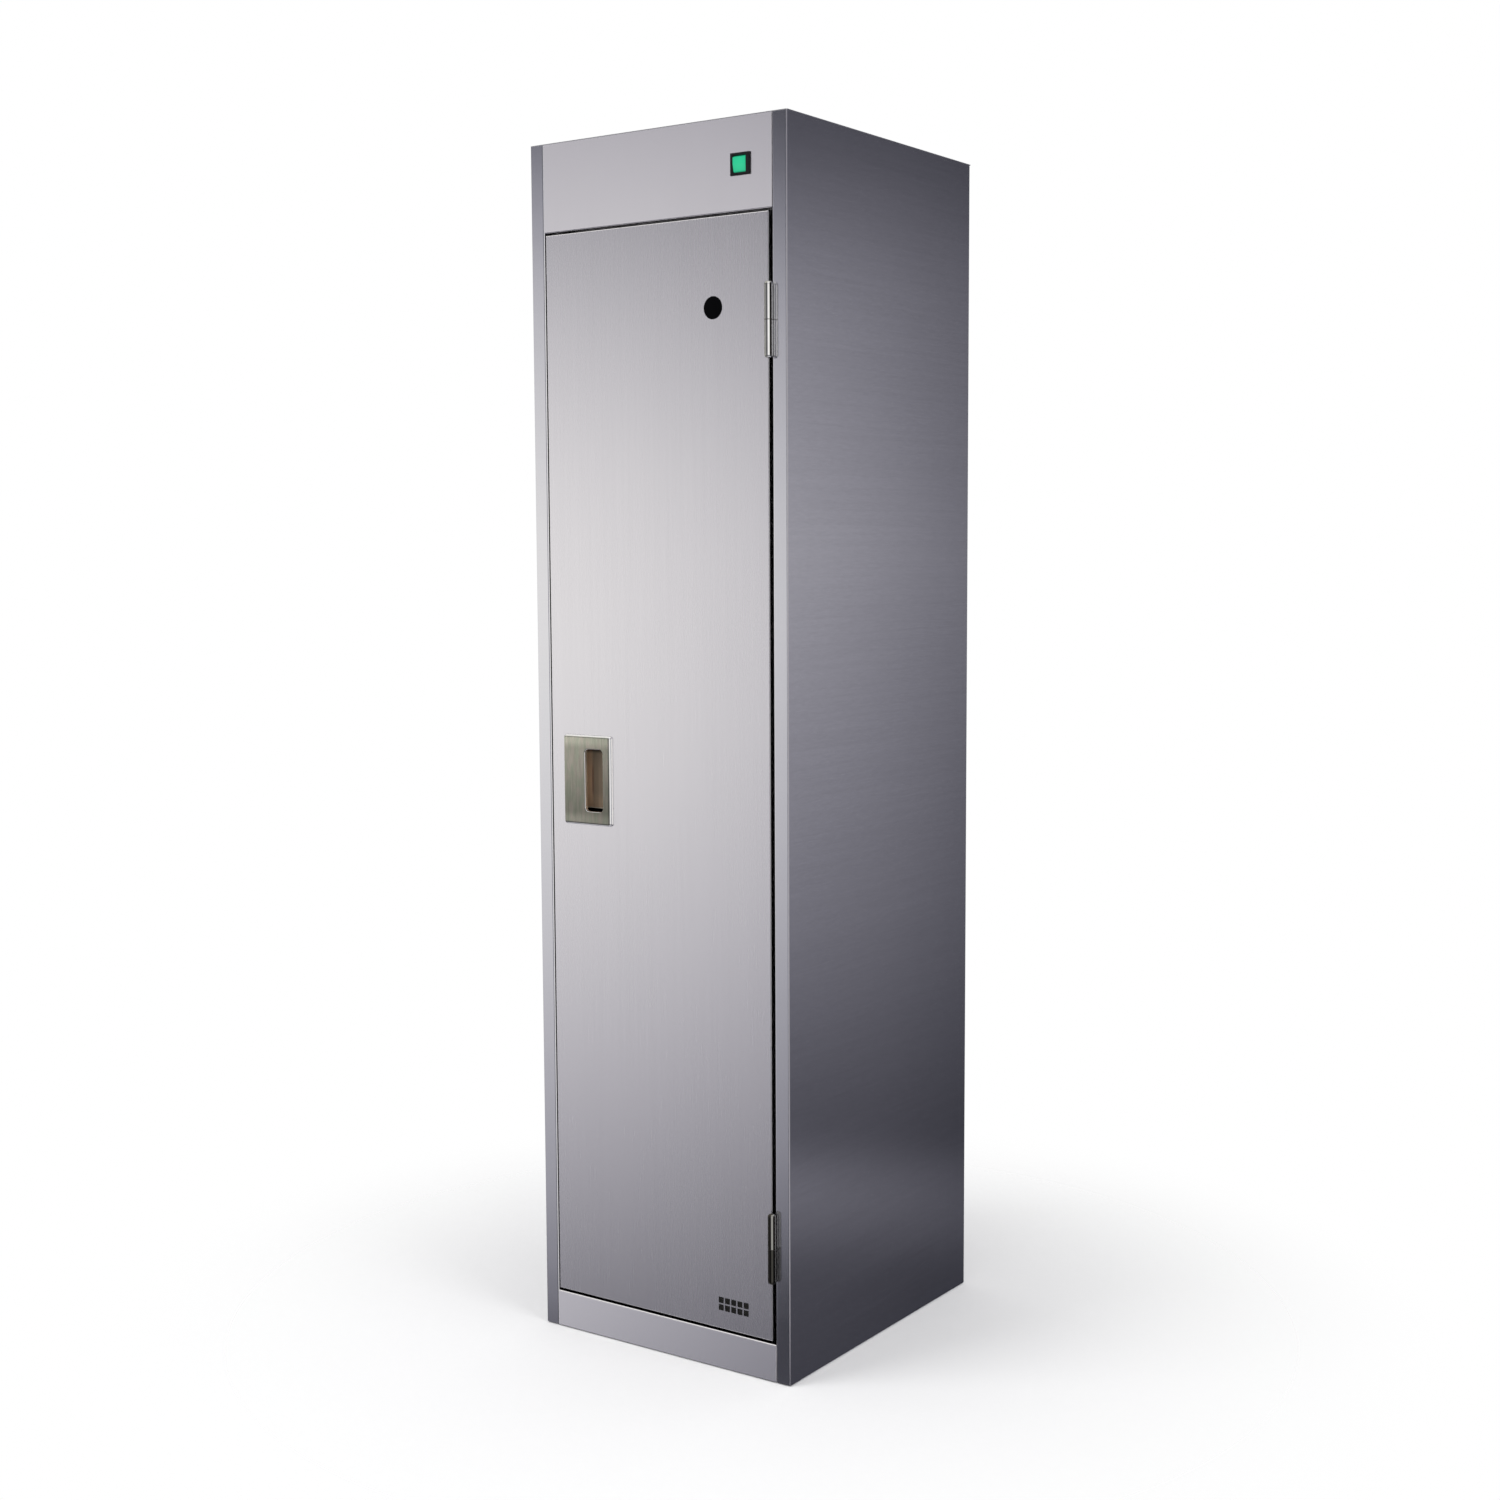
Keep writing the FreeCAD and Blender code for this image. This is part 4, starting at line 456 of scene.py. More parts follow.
@dataclass(frozen=True)
class LedgeSteel(SheetSteel):
    """A front sheet with painted shade on its level returns over and under the door."""

    # Painted shade: the level returns lie in the shade of the gaps over and under the door.
    ledge_shade_tint: Colour = (0.10, 0.10, 0.105)
    ledge_facing: Span = (0.75, 0.98)

    def with_painted_shade(self, bench: NodeBench, colour: Wire) -> Wire:
        """The sheet's colour with painted shade on its returns."""
        level = bench.step(abs(bench.part(bench.facing(), "Z")), *self.ledge_facing)
        return bench.blend(level, colour, self.ledge_shade_tint)


@dataclass(frozen=True)
class CornerSteel(SheetSteel):
    """Sheet bent round a corner: a broad flecked side, a plain narrow front, and painted shade along the
    outer bend and on the reveal beside the door.
    """

    hairline_share: float = 0.15
    cloud_share: float = 0.15
    flecks: Span = (60.0, 430.0)
    fleck_share: float = 0.4
    side_facing: Span = (0.4, 0.9)
    front_tint: Colour = (0.60, 0.60, 0.61)
    front_shades: Span = (0.94, 1.06)
    front_roughness: float = 0.2
    # Painted shade: a darker line along the outer bend.
    bend_shade_tint: Colour = (0.20, 0.19, 0.22)
    bend_outward: Span = (0.0, 50 * MM)
    # Painted shade: the front of the reveal, in the gap beside the door.
    reveal_shade_tint: Colour = (0.16, 0.16, 0.165)
    reveal_back: Span = (-236 * MM, -228 * MM)
    reveal_outward: Span = (-195 * MM, -172 * MM)

    def lay(self, bench: NodeBench) -> None:
        """Lays the sheet's nodes, with the front apart from the side.

        Args:
            bench: Where they go.
        """
        hairline, streak, cloud, height = self.textures(bench)
        place = bench.place()
        fleck = bench.noise(place * self.grain.stretch(self.flecks), detail=3.0, roughness=0.6)
        across = bench.part(bench.facing(), "X")
        side = bench.step(abs(across), *self.side_facing)
        outward = across * bench.part(place, "X")
        bend = side.ridge() * bench.step(outward, *self.bend_outward)
        forward = 1 - bench.step(bench.part(place, "Y"), *self.reveal_back)
        reveal = forward * (1 - bench.step(outward, *self.reveal_outward))
        broad = self.brushed(bench, self.tone(hairline, streak, cloud) + fleck * self.fleck_share)
        narrow = bench.shades(cloud, self.front_tint, self.front_shades)
        # Painted shade along the outer bend, then on the reveal.
        sheet = bench.blend(bend, bench.blend(side, narrow, broad), self.bend_shade_tint)
        rough = bench.blend(side, self.front_roughness, self.roughness)
        colour = bench.blend(reveal, sheet, self.reveal_shade_tint)
        self.roll(bench, colour, self.gloss(rough, hairline, cloud), height)


@dataclass(frozen=True)
class Texture:
    """A noise on a surface, by its rates in a metre, and how far it stains, roughens and raises the surface.

    One that has a patch goes from 0 to 1 over that span of the noise. Any other lies about one half.
    """

    rates: Triple
    detail: float = 2.0
    harsh: float = 0.5
    patch: Span | None = None
    stain: float = 0.0
    gloss: float = 0.0
    depth: float = 0.0

    def value(self, bench: NodeBench, place: Wire) -> Wire:
        """The texture at a place."""
        made = bench.noise(place * self.rates, detail=self.detail, roughness=self.harsh)
        return bench.step(made, *self.patch) if self.patch else made


@dataclass(frozen=True)
class WornSurface(Finish):
    """A surface with a fine texture, whose tint wears to another in broad patches."""

    tint: Colour
    worn: Colour
    roughness: float
    fine: Texture
    broad: Texture
    metal: float = 0.0
    shine: float = 0.5

    def lay(self, bench: NodeBench) -> None:
        """Lays the surface's nodes.

        Args:
            bench: Where they go.
        """
        place = bench.place()
        fine, broad = self.fine.value(bench, place), self.broad.value(bench, place)
        stain = broad * self.broad.stain + fine * self.fine.stain
        bench.surface({
            "Base Color": bench.blend(stain, self.tint, self.worn),
            "Metallic": self.metal,
            "Roughness": self.roughness + broad * self.broad.gloss + fine.swing(self.fine.gloss),
            "Specular IOR Level": self.shine,
            "Normal": bench.bump(fine * self.fine.depth),
        })


@dataclass(frozen=True)
class BrightMetal(WornSurface):
    """Turned, drawn, plated or pressed metal, with fine marks, dull patches and a thin grime."""

    tint: Colour = (0.72, 0.71, 0.69)
    worn: Colour = (0.45, 0.43, 0.38)
    roughness: float = 0.18
    fine: Texture = Texture((700.0, 700.0, 60.0), stain=0.25, gloss=0.1, depth=0.006 * MM)
    broad: Texture = Texture((40.0,) * 3, detail=4.0, harsh=0.6, patch=(0.48, 0.72), stain=0.6, gloss=0.12)
    metal: float = 1.0


@dataclass(frozen=True)
class Moulding(WornSurface):
    """Moulded plastic or rubber, with a fine spark texture and patches of dust."""

    tint: Colour = (0.03, 0.03, 0.032)
    worn: Colour = (0.11, 0.11, 0.105)
    roughness: float = 0.5
    fine: Texture = Texture((1400.0,) * 3, gloss=0.18, depth=0.03 * MM)
    broad: Texture = Texture((35.0,) * 3, detail=5.0, harsh=0.65, patch=(0.45, 0.8), stain=0.35, gloss=0.15)


@dataclass(frozen=True)
class Enamel(WornSurface):
    """Stoved paint, with its orange-peel and light scuffs."""

    tint: Colour = (0.50, 0.52, 0.53)
    worn: Colour = (0.36, 0.37, 0.38)
    roughness: float = 0.36
    fine: Texture = Texture((420.0,) * 3, detail=1.0, gloss=0.1, depth=0.03 * MM)
    broad: Texture = Texture((28.0,) * 3, detail=6.0, harsh=0.7, patch=(0.5, 0.75), stain=0.6, gloss=0.2)


@dataclass(frozen=True)
class HingeBarrel(Finish):
    """Turned barrel: bright steel on a band facing front right, with painted shade on the door's side and at
    the back, and a painted shadow against the frame.
    """

    bright: Colour = (0.90, 0.90, 0.87)
    bright_shades: Span = (1.06, 0.86)
    bright_facing: Span = (0.2, 0.4)
    # Painted shade: the door's side of the barrel is darker than its steel.
    film: Colour = (0.42, 0.42, 0.37)
    door_side_shades: Span = (1.2, 0.8)
    # Painted shadow: the side against the frame is nearly black.
    frame_side_shadow: Colour = (0.012, 0.012, 0.011)
    frame_side_facing: Span = (0.72, 0.8)
    # Painted shade: the back is darker, so that its reflection in the stile blends with the stile.
    rear_shade: Colour = (0.56, 0.56, 0.57)
    rear_facing: Span = (-0.2, 0.0)
    roughness: float = 0.07
    metal: float = 1.0
    marks: Texture = Texture((500.0, 500.0, 40.0), depth=0.002 * MM)
    patches: Texture = Texture((60.0,) * 3, detail=4.0, harsh=0.6, gloss=0.03)
    side_gloss: float = 0.1

    def lay(self, bench: NodeBench) -> None:
        """Lays the barrel's nodes.

        Args:
            bench: Where they go.
        """
        place = bench.place()
        across = bench.part(bench.facing(), "X")
        backward = bench.part(bench.facing(), "Y")
        mark, patch = self.marks.value(bench, place), self.patches.value(bench, place)
        # Masks of the painted shade on the door's side and at the back, and of the painted shadow against the
        # frame.
        door_side_shaded = 1 - bench.step(across, *self.bright_facing)
        behind = bench.step(backward, *self.rear_facing)
        frame_side_shadowed = bench.step(across, *self.frame_side_facing) * (1 - behind)
        bright_band = bench.shades(patch, self.bright, self.bright_shades)
        door_side_colour = bench.shades(patch, self.film, self.door_side_shades)
        # The steel with its painted shade on the door's side and at the back; the painted shadow goes on
        # next.
        worn = bench.blend(behind, bench.blend(door_side_shaded, bright_band, door_side_colour), self.rear_shade)
        bench.surface({
            "Base Color": bench.blend(frame_side_shadowed, worn, self.frame_side_shadow),
            "Metallic": self.metal,
            "Roughness": self.roughness + patch * self.patches.gloss + (door_side_shaded + frame_side_shadowed) * self.side_gloss,
            "Normal": bench.bump(mark * self.marks.depth),
        })


@dataclass(frozen=True)
class PullPlate(Finish):
    """Pressed plate with polished edges round a face brushed upright, with painted shade low down and to the
    right and a painted highlight along its top and bottom ends.
    """

    edge: Colour = (0.86, 0.86, 0.85)
    edge_facing: Span = (0.72, 0.98)
    edge_roughness: float = 0.08
    face_roughness: float = 0.22
    brushing: Texture = Texture((420.0, 420.0, 30.0), detail=4.0, harsh=0.6, gloss=0.12, depth=0.006 * MM)
    brush_least: float = 0.6
    brush_gain: float = 0.8
    patches: Texture = Texture((110.0, 110.0, 45.0), detail=3.0, patch=(0.35, 0.65))
    green: Colour = (0.355, 0.37, 0.285)
    rose: Colour = (0.42, 0.39, 0.32)
    # Painted shade low down and to the right, and a painted highlight along the top and bottom ends.
    low_shade: float = 0.6
    right_shade: float = 0.82
    end_highlight: float = 1.45
    heights: Span = (800 * MM, 905 * MM)
    sides: Span = (-165 * MM, -92 * MM)
    foot: Span = (796 * MM, 809 * MM)
    head: Span = (901 * MM, 914 * MM)

    def lay(self, bench: NodeBench) -> None:
        """Lays the plate's nodes.

        Args:
            bench: Where they go.
        """
        place = bench.place()
        height = bench.part(place, "Z")
        brushed, patch = self.brushing.value(bench, place), self.patches.value(bench, place)
        polished = 1 - bench.step(abs(bench.part(bench.facing(), "Y")), *self.edge_facing)
        low = 1 - bench.step(height, *self.heights)
        right = bench.step(bench.part(place, "X"), *self.sides)
        ends = bench.step(height, *self.head) + 1 - bench.step(height, *self.foot)
        # Painted shade and highlight, times the brushed grain.
        shade_and_grain = bench.blend(low, 1.0, self.low_shade) * bench.blend(right, 1.0, self.right_shade)
        shade_and_grain = shade_and_grain * bench.blend(ends, 1.0, self.end_highlight)
        shade_and_grain = shade_and_grain * (self.brush_least + brushed * self.brush_gain)
        metal = bench.blend(patch, self.green, self.rose) * shade_and_grain
        rough = bench.blend(polished, self.face_roughness, self.edge_roughness)
        bench.surface({
            "Base Color": bench.blend(polished, metal, self.edge),
            "Metallic": 1.0,
            "Roughness": rough + brushed.swing(self.brushing.gloss),
            "Normal": bench.bump(brushed * self.brushing.depth),
        })


@dataclass(frozen=True)
class SatinCup(Finish):
    """The pull's pressed pocket: satin metal gone brown, with painted light on its left and towards the
    bottom, a darker red-brown band between, painted shadow at the top and on the floor, and a painted
    highlight along the sill.
    """

    # Painted light: the left of the pocket and its lower part are lighter, where light falls into it.
    painted_light_tint: Colour = (0.92, 0.65, 0.44)
    aged: Colour = (0.38, 0.30, 0.22)
    # A darker red-brown band along the split, over the middle heights.
    red_band: Colour = (0.24, 0.12, 0.09)
    # Painted shadow at the top of the pocket.
    shadow_tint: Colour = (0.012, 0.011, 0.010)
    # Painted highlight along the sill.
    lit: Colour = (0.95, 0.85, 0.70)
    metal: float = 0.25
    roughness: float = 0.32
    drawing: Texture = Texture((170.0, 170.0, 9.0), detail=3.0, gloss=0.2, depth=0.02 * MM)
    drawn_least: float = 0.7
    drawn_gain: float = 0.6
    split_sides: Span = (-143 * MM, -137 * MM)
    band_middle: float = 852 * MM
    band_reach: Span = (12 * MM, 34 * MM)
    band_strength: float = 0.75
    foot: Span = (810 * MM, 840 * MM)
    foot_lightening: float = 0.45
    sill: Span = (810 * MM, 812.5 * MM)
    head: Span = (892 * MM, 900 * MM)

    def lay(self, bench: NodeBench) -> None:
        """Lays the cup's nodes.

        Args:
            bench: Where they go.
        """
        place = bench.place()
        height = bench.part(place, "Z")
        drawn = self.drawing.value(bench, place)
        across = bench.step(bench.part(place, "X"), *self.split_sides)
        low = 1 - bench.step(height, *self.foot)
        brown = bench.blend(across, self.painted_light_tint, self.aged)
        short = 1 - bench.step(abs(height - self.band_middle), *self.band_reach)
        brown = bench.blend(across.ridge() * self.band_strength * short, brown, self.red_band)
        brown = bench.blend(low * self.foot_lightening, brown, self.painted_light_tint)
        brown = brown * (self.drawn_least + drawn * self.drawn_gain)
        # Painted shadow at the top.
        brown = bench.blend(bench.step(height, *self.head), brown, self.shadow_tint)
        # Painted shadow on the floor below the sill, and a painted highlight along the sill.
        sill = bench.step(height, *self.sill)
        bench.surface({
            "Base Color": bench.blend(sill.ridge(), brown * sill, self.lit),
            "Metallic": self.metal,
            "Roughness": self.roughness + drawn.swing(self.drawing.gloss),
            "Normal": bench.bump(drawn * self.drawing.depth),
        })


@dataclass(frozen=True)
class LitLens(Finish):
    """Tinted plastic that a lamp behind it lights, brighter over the lamp."""

    tint: Colour = (0.01, 0.22, 0.11)
    tint_shades: Span = (0.85, 1.1)
    roughness: float = 0.22
    ribs: Texture = Texture((900.0,) * 3, stain=0.2, gloss=0.1, depth=0.01 * MM)
    glow: Colour = (0.028, 0.51, 0.255)
    edge: Colour = (0.02, 0.40, 0.20)
    centre: Triple = (0.1507, -0.26, 1.7247)
    reach: Span = (3.25 * MM, 13 * MM)
    reach_fall: float = 0.75

    def lay(self, bench: NodeBench) -> None:
        """Lays the lens's nodes.

        Args:
            bench: Where they go.
        """
        place = bench.place()
        far = bench.vector("LENGTH", place - self.centre, output="Value")
        rib = self.ribs.value(bench, place)
        fall = bench.step(far, *self.reach) * self.reach_fall + rib * self.ribs.stain
        bench.surface({
            "Base Color": bench.shades(rib, self.tint, self.tint_shades),
            "Roughness": self.roughness + rib.swing(self.ribs.gloss),
            "Emission Color": bench.blend(fall, self.glow, self.edge),
            "Emission Strength": 0.75,
            "Specular IOR Level": 0.2,
            "Coat Weight": 0.1,
            "Normal": bench.bump(rib * self.ribs.depth),
        })


@dataclass(frozen=True)
class SmokedLens(Finish):
    """Nearly black glazing with a faint film of dust."""

    tint: Colour = (0.0008, 0.0008, 0.001)
    film: Colour = (0.0025, 0.0025, 0.003)
    roughness: float = 0.08
    smears: Texture = Texture((60.0, 60.0, 25.0), detail=4.0, gloss=0.12, depth=0.01 * MM)

    def lay(self, bench: NodeBench) -> None:
        """Lays the glazing's nodes.

        Args:
            bench: Where they go.
        """
        smear = self.smears.value(bench, bench.place())
        bench.surface({
            "Base Color": bench.blend(smear, self.tint, self.film),
            "Roughness": self.roughness + smear * self.smears.gloss,
            "Specular IOR Level": 0.03,
            "Normal": bench.bump(smear * self.smears.depth),
        })


@dataclass(frozen=True)
class QuartzGlass(Finish):
    """Clear tube glass, burnt grey near its ends."""

    ends: Span = (981 * MM, 1419 * MM)
    burnt_reach: Span = (30 * MM, 60 * MM)
    burnt_least: float = 0.25
    burnt_gain: float = 0.4
    burnt: Colour = (0.30, 0.29, 0.28)
    ashen: Colour = (0.46, 0.45, 0.44)
    burnt_roughness: float = 0.35
    burnt_gloss: float = 0.2
    tint: Colour = (0.93, 0.96, 0.98)
    roughness: float = 0.03
    grime: Texture = Texture((60.0,) * 3, detail=4.0, gloss=0.05)

    def lay(self, bench: NodeBench) -> None:
        """Lays the glass's nodes.

        Args:
            bench: Where they go.
        """
        place = bench.place()
        height = bench.part(place, "Z")
        low, high = self.ends
        near, far = self.burnt_reach
        haze = 1 - bench.step(height, low + near, low + far) + bench.step(height, high - far, high - near)
        grime = self.grime.value(bench, place)
        clear = bench.shader("ShaderNodeBsdfPrincipled", {
            "Base Color": self.tint,
            "Roughness": self.roughness + grime * self.grime.gloss,
            "Transmission Weight": 1.0,
            "IOR": 1.46,
        })
        burnt = bench.shader("ShaderNodeBsdfPrincipled", {
            "Base Color": bench.blend(grime, self.burnt, self.ashen),
            "Roughness": self.burnt_roughness + grime * self.burnt_gloss,
        })
        cover = haze * (self.burnt_least + grime * self.burnt_gain)
        bench.output("ShaderNodeOutputMaterial", bench.mix(cover, clear, burnt))


@dataclass(frozen=True)
class FilterFoam(Finish):
    """Open-celled foam, nearly black, with lint where air goes in."""

    # Black foam, made darker still as painted shade for the recess behind the vent.
    tint: Colour = (0.002, 0.002, 0.0022)
    lint: Colour = (0.011, 0.010, 0.008)
    roughness: float = 0.85
    cells: float = 620.0
    cell_depth: float = 0.5 * MM
    cell_share: float = 0.7
    clumps: Texture = Texture((120.0,) * 3, detail=4.0, stain=0.3, gloss=0.1)

    def lay(self, bench: NodeBench) -> None:
        """Lays the foam's nodes.

        Args:
            bench: Where they go.
        """
        place = bench.place()
        cell = bench.cells(place, self.cells)
        clump = self.clumps.value(bench, place)
        linty = cell * self.cell_share + clump * self.clumps.stain
        bench.surface({
            "Base Color": bench.blend(linty, self.tint, self.lint),
            "Roughness": self.roughness + clump * self.clumps.gloss,
            "Normal": bench.bump(cell * self.cell_depth),
        })


DOOR_STEEL = DoorSteel("door_sheet_steel", tint=(0.92, 0.905, 0.895), roughness=0.26, grain=Grain.UPRIGHT)
FACIA_STEEL = LedgeSteel(
    "facia_sheet_steel", tint=(0.76, 0.745, 0.755), roughness=0.24, grain=Grain.UPRIGHT, contrast=0.04,
    lean=(0.05, 0.07),
)
# Painted light: the kick plate's tint is much brighter than the facia's, a lit copy of the same steel.
KICK_STEEL = LedgeSteel(
    "kick_sheet_steel", tint=(0.96, 0.95, 0.94), roughness=0.22, grain=Grain.UPRIGHT, contrast=0.05,
    lean=(-0.03, -0.092),
)
CORNER_STEEL = CornerSteel(
    "corner_sheet_steel", tint=(0.74, 0.735, 0.74), roughness=0.13, grain=Grain.LEVEL, contrast=0.24,
    unevenness=0.16 * MM, waves=(1.5, 1.5, 11.0), anisotropy=0.5,
    front_tint=(0.76, 0.76, 0.765), front_roughness=0.14,
)
PLAIN_STEEL = SheetSteel("plain_sheet_steel", tint=(0.64, 0.635, 0.64), roughness=0.34, grain=Grain.LEVEL)
FLAT_STEEL = SheetSteel("flat_sheet_steel", tint=(0.64, 0.635, 0.64), roughness=0.36, grain=Grain.BACKWARDS)
BARREL_STEEL = HingeBarrel("hinge_barrel_steel")
# Painted shade: a darker copy of the barrel steel for the lower hinge.
LOWER_SHADED_BARREL = HingeBarrel(
    "hinge_barrel_lower_shaded", bright=(0.36, 0.355, 0.32), film=(0.05, 0.046, 0.035), rear_shade=(0.2, 0.2, 0.2),
    metal=0.95,
)
# Painted shade: a still darker copy for the lower hinge's frame leaf, so that it shows no highlight.
LOWER_DEEP_SHADED_BARREL = HingeBarrel(
    "hinge_barrel_lower_deep_shaded", bright=(0.065, 0.062, 0.053), film=(0.05, 0.046, 0.036), rear_shade=(0.1, 0.1, 0.1),
    metal=0.95,
)
DARK_WASHER = BrightMetal(
    "hinge_washer_dark", tint=(0.09, 0.085, 0.075), worn=(0.05, 0.045, 0.04), roughness=0.35,
)
RAIL_STEEL = BrightMetal(
    "rail_tube_steel", roughness=0.14,
    fine=Texture((60.0, 800.0, 800.0), stain=0.25, gloss=0.1, depth=0.006 * MM),
)
PULL_STEEL = PullPlate("pull_plate_steel")
CUP_STEEL = SatinCup("pull_cup_satin")
ZINC_STEEL = BrightMetal("zinc_plate", tint=(0.58, 0.58, 0.57), worn=(0.42, 0.42, 0.40), roughness=0.34)
WIRE_STEEL = BrightMetal("guard_wire_steel", tint=(0.70, 0.70, 0.70), worn=(0.48, 0.48, 0.47), roughness=0.2)
CAP_METAL = BrightMetal("lamp_cap_aluminium", tint=(0.72, 0.72, 0.73), worn=(0.5, 0.5, 0.5), roughness=0.32)
CONTACT_BRASS = BrightMetal(
    "contact_brass_metal", tint=(0.72, 0.55, 0.26), worn=(0.42, 0.30, 0.14), roughness=0.3,
)
CATHODE_METAL = BrightMetal(
    "cathode_wire_metal", tint=(0.45, 0.44, 0.43), worn=(0.25, 0.24, 0.22), roughness=0.4,
)
THICK_DUST = Texture((35.0,) * 3, detail=5.0, harsh=0.65, patch=(0.45, 0.8), stain=0.6, gloss=0.15)
BLACK_PLASTIC = Moulding("black_moulding", tint=(0.008, 0.008, 0.009), worn=(0.03, 0.03, 0.029), shine=0.18)
WHITE_PLASTIC = Moulding(
    "white_moulding", tint=(0.76, 0.75, 0.71), worn=(0.58, 0.56, 0.51), roughness=0.42, broad=THICK_DUST,
)
GREY_PLASTIC = Moulding("grey_moulding", tint=(0.33, 0.345, 0.355), worn=(0.22, 0.22, 0.22), roughness=0.46)
FAN_PLASTIC = Moulding(
    "fan_moulding", tint=(0.025, 0.025, 0.027), worn=(0.13, 0.125, 0.12), broad=THICK_DUST,
)
LEAD_SHEATH = Moulding(
    "lead_sheath", tint=(0.02, 0.02, 0.022), roughness=0.42,
    fine=Texture((900.0,) * 3, gloss=0.18, depth=0.03 * MM),
)
SEAL_RUBBER = Moulding(
    "seal_rubber_matt", tint=(0.008, 0.008, 0.009), worn=(0.03, 0.03, 0.029), roughness=0.62, shine=0.2,
)
PAD_RUBBER = Moulding("pad_rubber_matt", tint=(0.02, 0.02, 0.02), worn=(0.1, 0.095, 0.09), roughness=0.72)
FAN_PAINT = Enamel("fan_frame_paint", tint=(0.035, 0.036, 0.038), worn=(0.13, 0.13, 0.13), roughness=0.42)
GREY_ENAMEL = Enamel("lamp_base_enamel")
SWITCH_LENS = LitLens("switch_lens_lit")
WINDOW_LENS = SmokedLens("window_lens_smoked")
TUBE_GLASS = QuartzGlass("lamp_tube_quartz")
VENT_FOAM = FilterFoam("vent_filter_foam")


# Meshes

def show(name: str, shape: bmesh.types.BMesh, smooth: bool = True) -> bpy.types.Object:
    """Makes an object of a shape, with its faces turned outward.

    Args:
        name: The object's name.
        shape: The shape, which is used up.
        smooth: Whether faces shade smoothly across soft edges.

    Returns:
        The object, linked to the scene.
    """
    bmesh.ops.recalc_face_normals(shape, faces=shape.faces)
    mesh = bpy.data.meshes.new(name)
    shape.to_mesh(mesh)
    shape.free()
    if smooth:
        mesh.set_sharp_from_angle(angle=SOFT_EDGE)
    made = bpy.data.objects.new(name, mesh)
    bpy.context.scene.collection.objects.link(made)
    return made


def dress(piece: bpy.types.Object, finish: Finish) -> None:
    """Gives a piece one finish all over."""
    piece.data.materials.clear()
    piece.data.materials.append(finish.material())


@dataclass
class Shell:
    """Points and faces of a piece, gathered from its parts."""

    points: list[Vector] = field(default_factory=list)
    faces: list[tuple[int, ...]] = field(default_factory=list)

    TUBE_SIDE = Vector((0.31, 0.52, 0.79))

    def rings(self, rings: Sequence[Sequence[Vector]]) -> None:
        """Skins a row of rings that have the same number of points, and closes both ends.

        Args:
            rings: The points of each ring, in order.
        """
        start, sides = len(self.points), len(rings[0])
        for ring in rings:
            self.points.extend(ring)
        for i in range(len(rings) - 1):
            near = start + i * sides
            for j in range(sides):
                k = (j + 1) % sides
                self.faces.append((near + j, near + k, near + sides + k, near + sides + j))
        end = start + (len(rings) - 1) * sides
        self.faces.append(tuple(start + j for j in reversed(range(sides))))
        self.faces.append(tuple(end + j for j in range(sides)))

    def turned(self, profile: Sequence[Span], where: Matrix, sides: int = 40,
               relief: Callable[[Vector], float] | None = None) -> None:
        """Turns a profile about the local z axis.

        Args:
            profile: Radius and height of each ring, from one end to the other.
            where: From the local frame to the part's.
            sides: Points in each ring.
            relief: How far a local point is pressed down, if it is.
        """
        rings = []
        for radius, height in profile:
            ring = []
            for j in range(sides):
                angle = FULL_TURN * j / sides
                point = Vector((radius * math.cos(angle), radius * math.sin(angle), height))
                if relief:
                    point.z -= relief(point)
                ring.append(where @ point)
            rings.append(ring)
        self.rings(rings)

    def tube(self, path: Sequence[Vector], radius: float, sides: int = 8) -> None:
        """Runs a round wire along a path.

        Args:
            path: Points that the wire follows.
            radius: The wire's radius.
            sides: Points round it.
        """
        last, side = len(path) - 1, self.TUBE_SIDE
        rings = []
        for i, point in enumerate(path):
            ahead = (path[min(i + 1, last)] - path[max(i - 1, 0)]).normalized()
            side = (side - ahead * side.dot(ahead)).normalized()
            other = ahead.cross(side)
            angles = [FULL_TURN * j / sides for j in range(sides)]
            rings.append([point + (side * math.cos(a) + other * math.sin(a)) * radius for a in angles])
        self.rings(rings)

    def shape(self) -> bmesh.types.BMesh:
        """Joins the points and faces.

        Returns:
            The shape.
        """
        shape = bmesh.new()
        verts = [shape.verts.new(point) for point in self.points]
        for face in self.faces:
            shape.faces.new([verts[i] for i in face])
        return shape

    def piece(self, name: str) -> bpy.types.Object:
        """The object that shows the shell."""
        return show(name, self.shape())


def island_boxes(node: bpy.types.Object) -> list[tuple[Vector, Vector]]:
    """Boxes of the separate solids in a CAD node.

    Args:
        node: The node's object, whose mesh is only read.

    Returns:
        The lowest and highest corner of each solid.
    """
    copy = bmesh.new()
    copy.from_mesh(node.data)
    bmesh.ops.remove_doubles(copy, verts=copy.verts, dist=WELD)
    left, boxes = set(copy.verts), []
    while left:
        stack, found = [left.pop()], []
        while stack:
            vert = stack.pop()
            found.append(vert.co.copy())
            for edge in vert.link_edges:
                other = edge.other_vert(vert)
                if other in left:
                    left.remove(other)
                    stack.append(other)
        boxes.append(tuple(Vector(pick(p[i] for p in found) for i in range(3)) for pick in (min, max)))
    copy.free()
    return sorted(boxes, key=lambda box: tuple(round(c, 4) for c in box[0]))


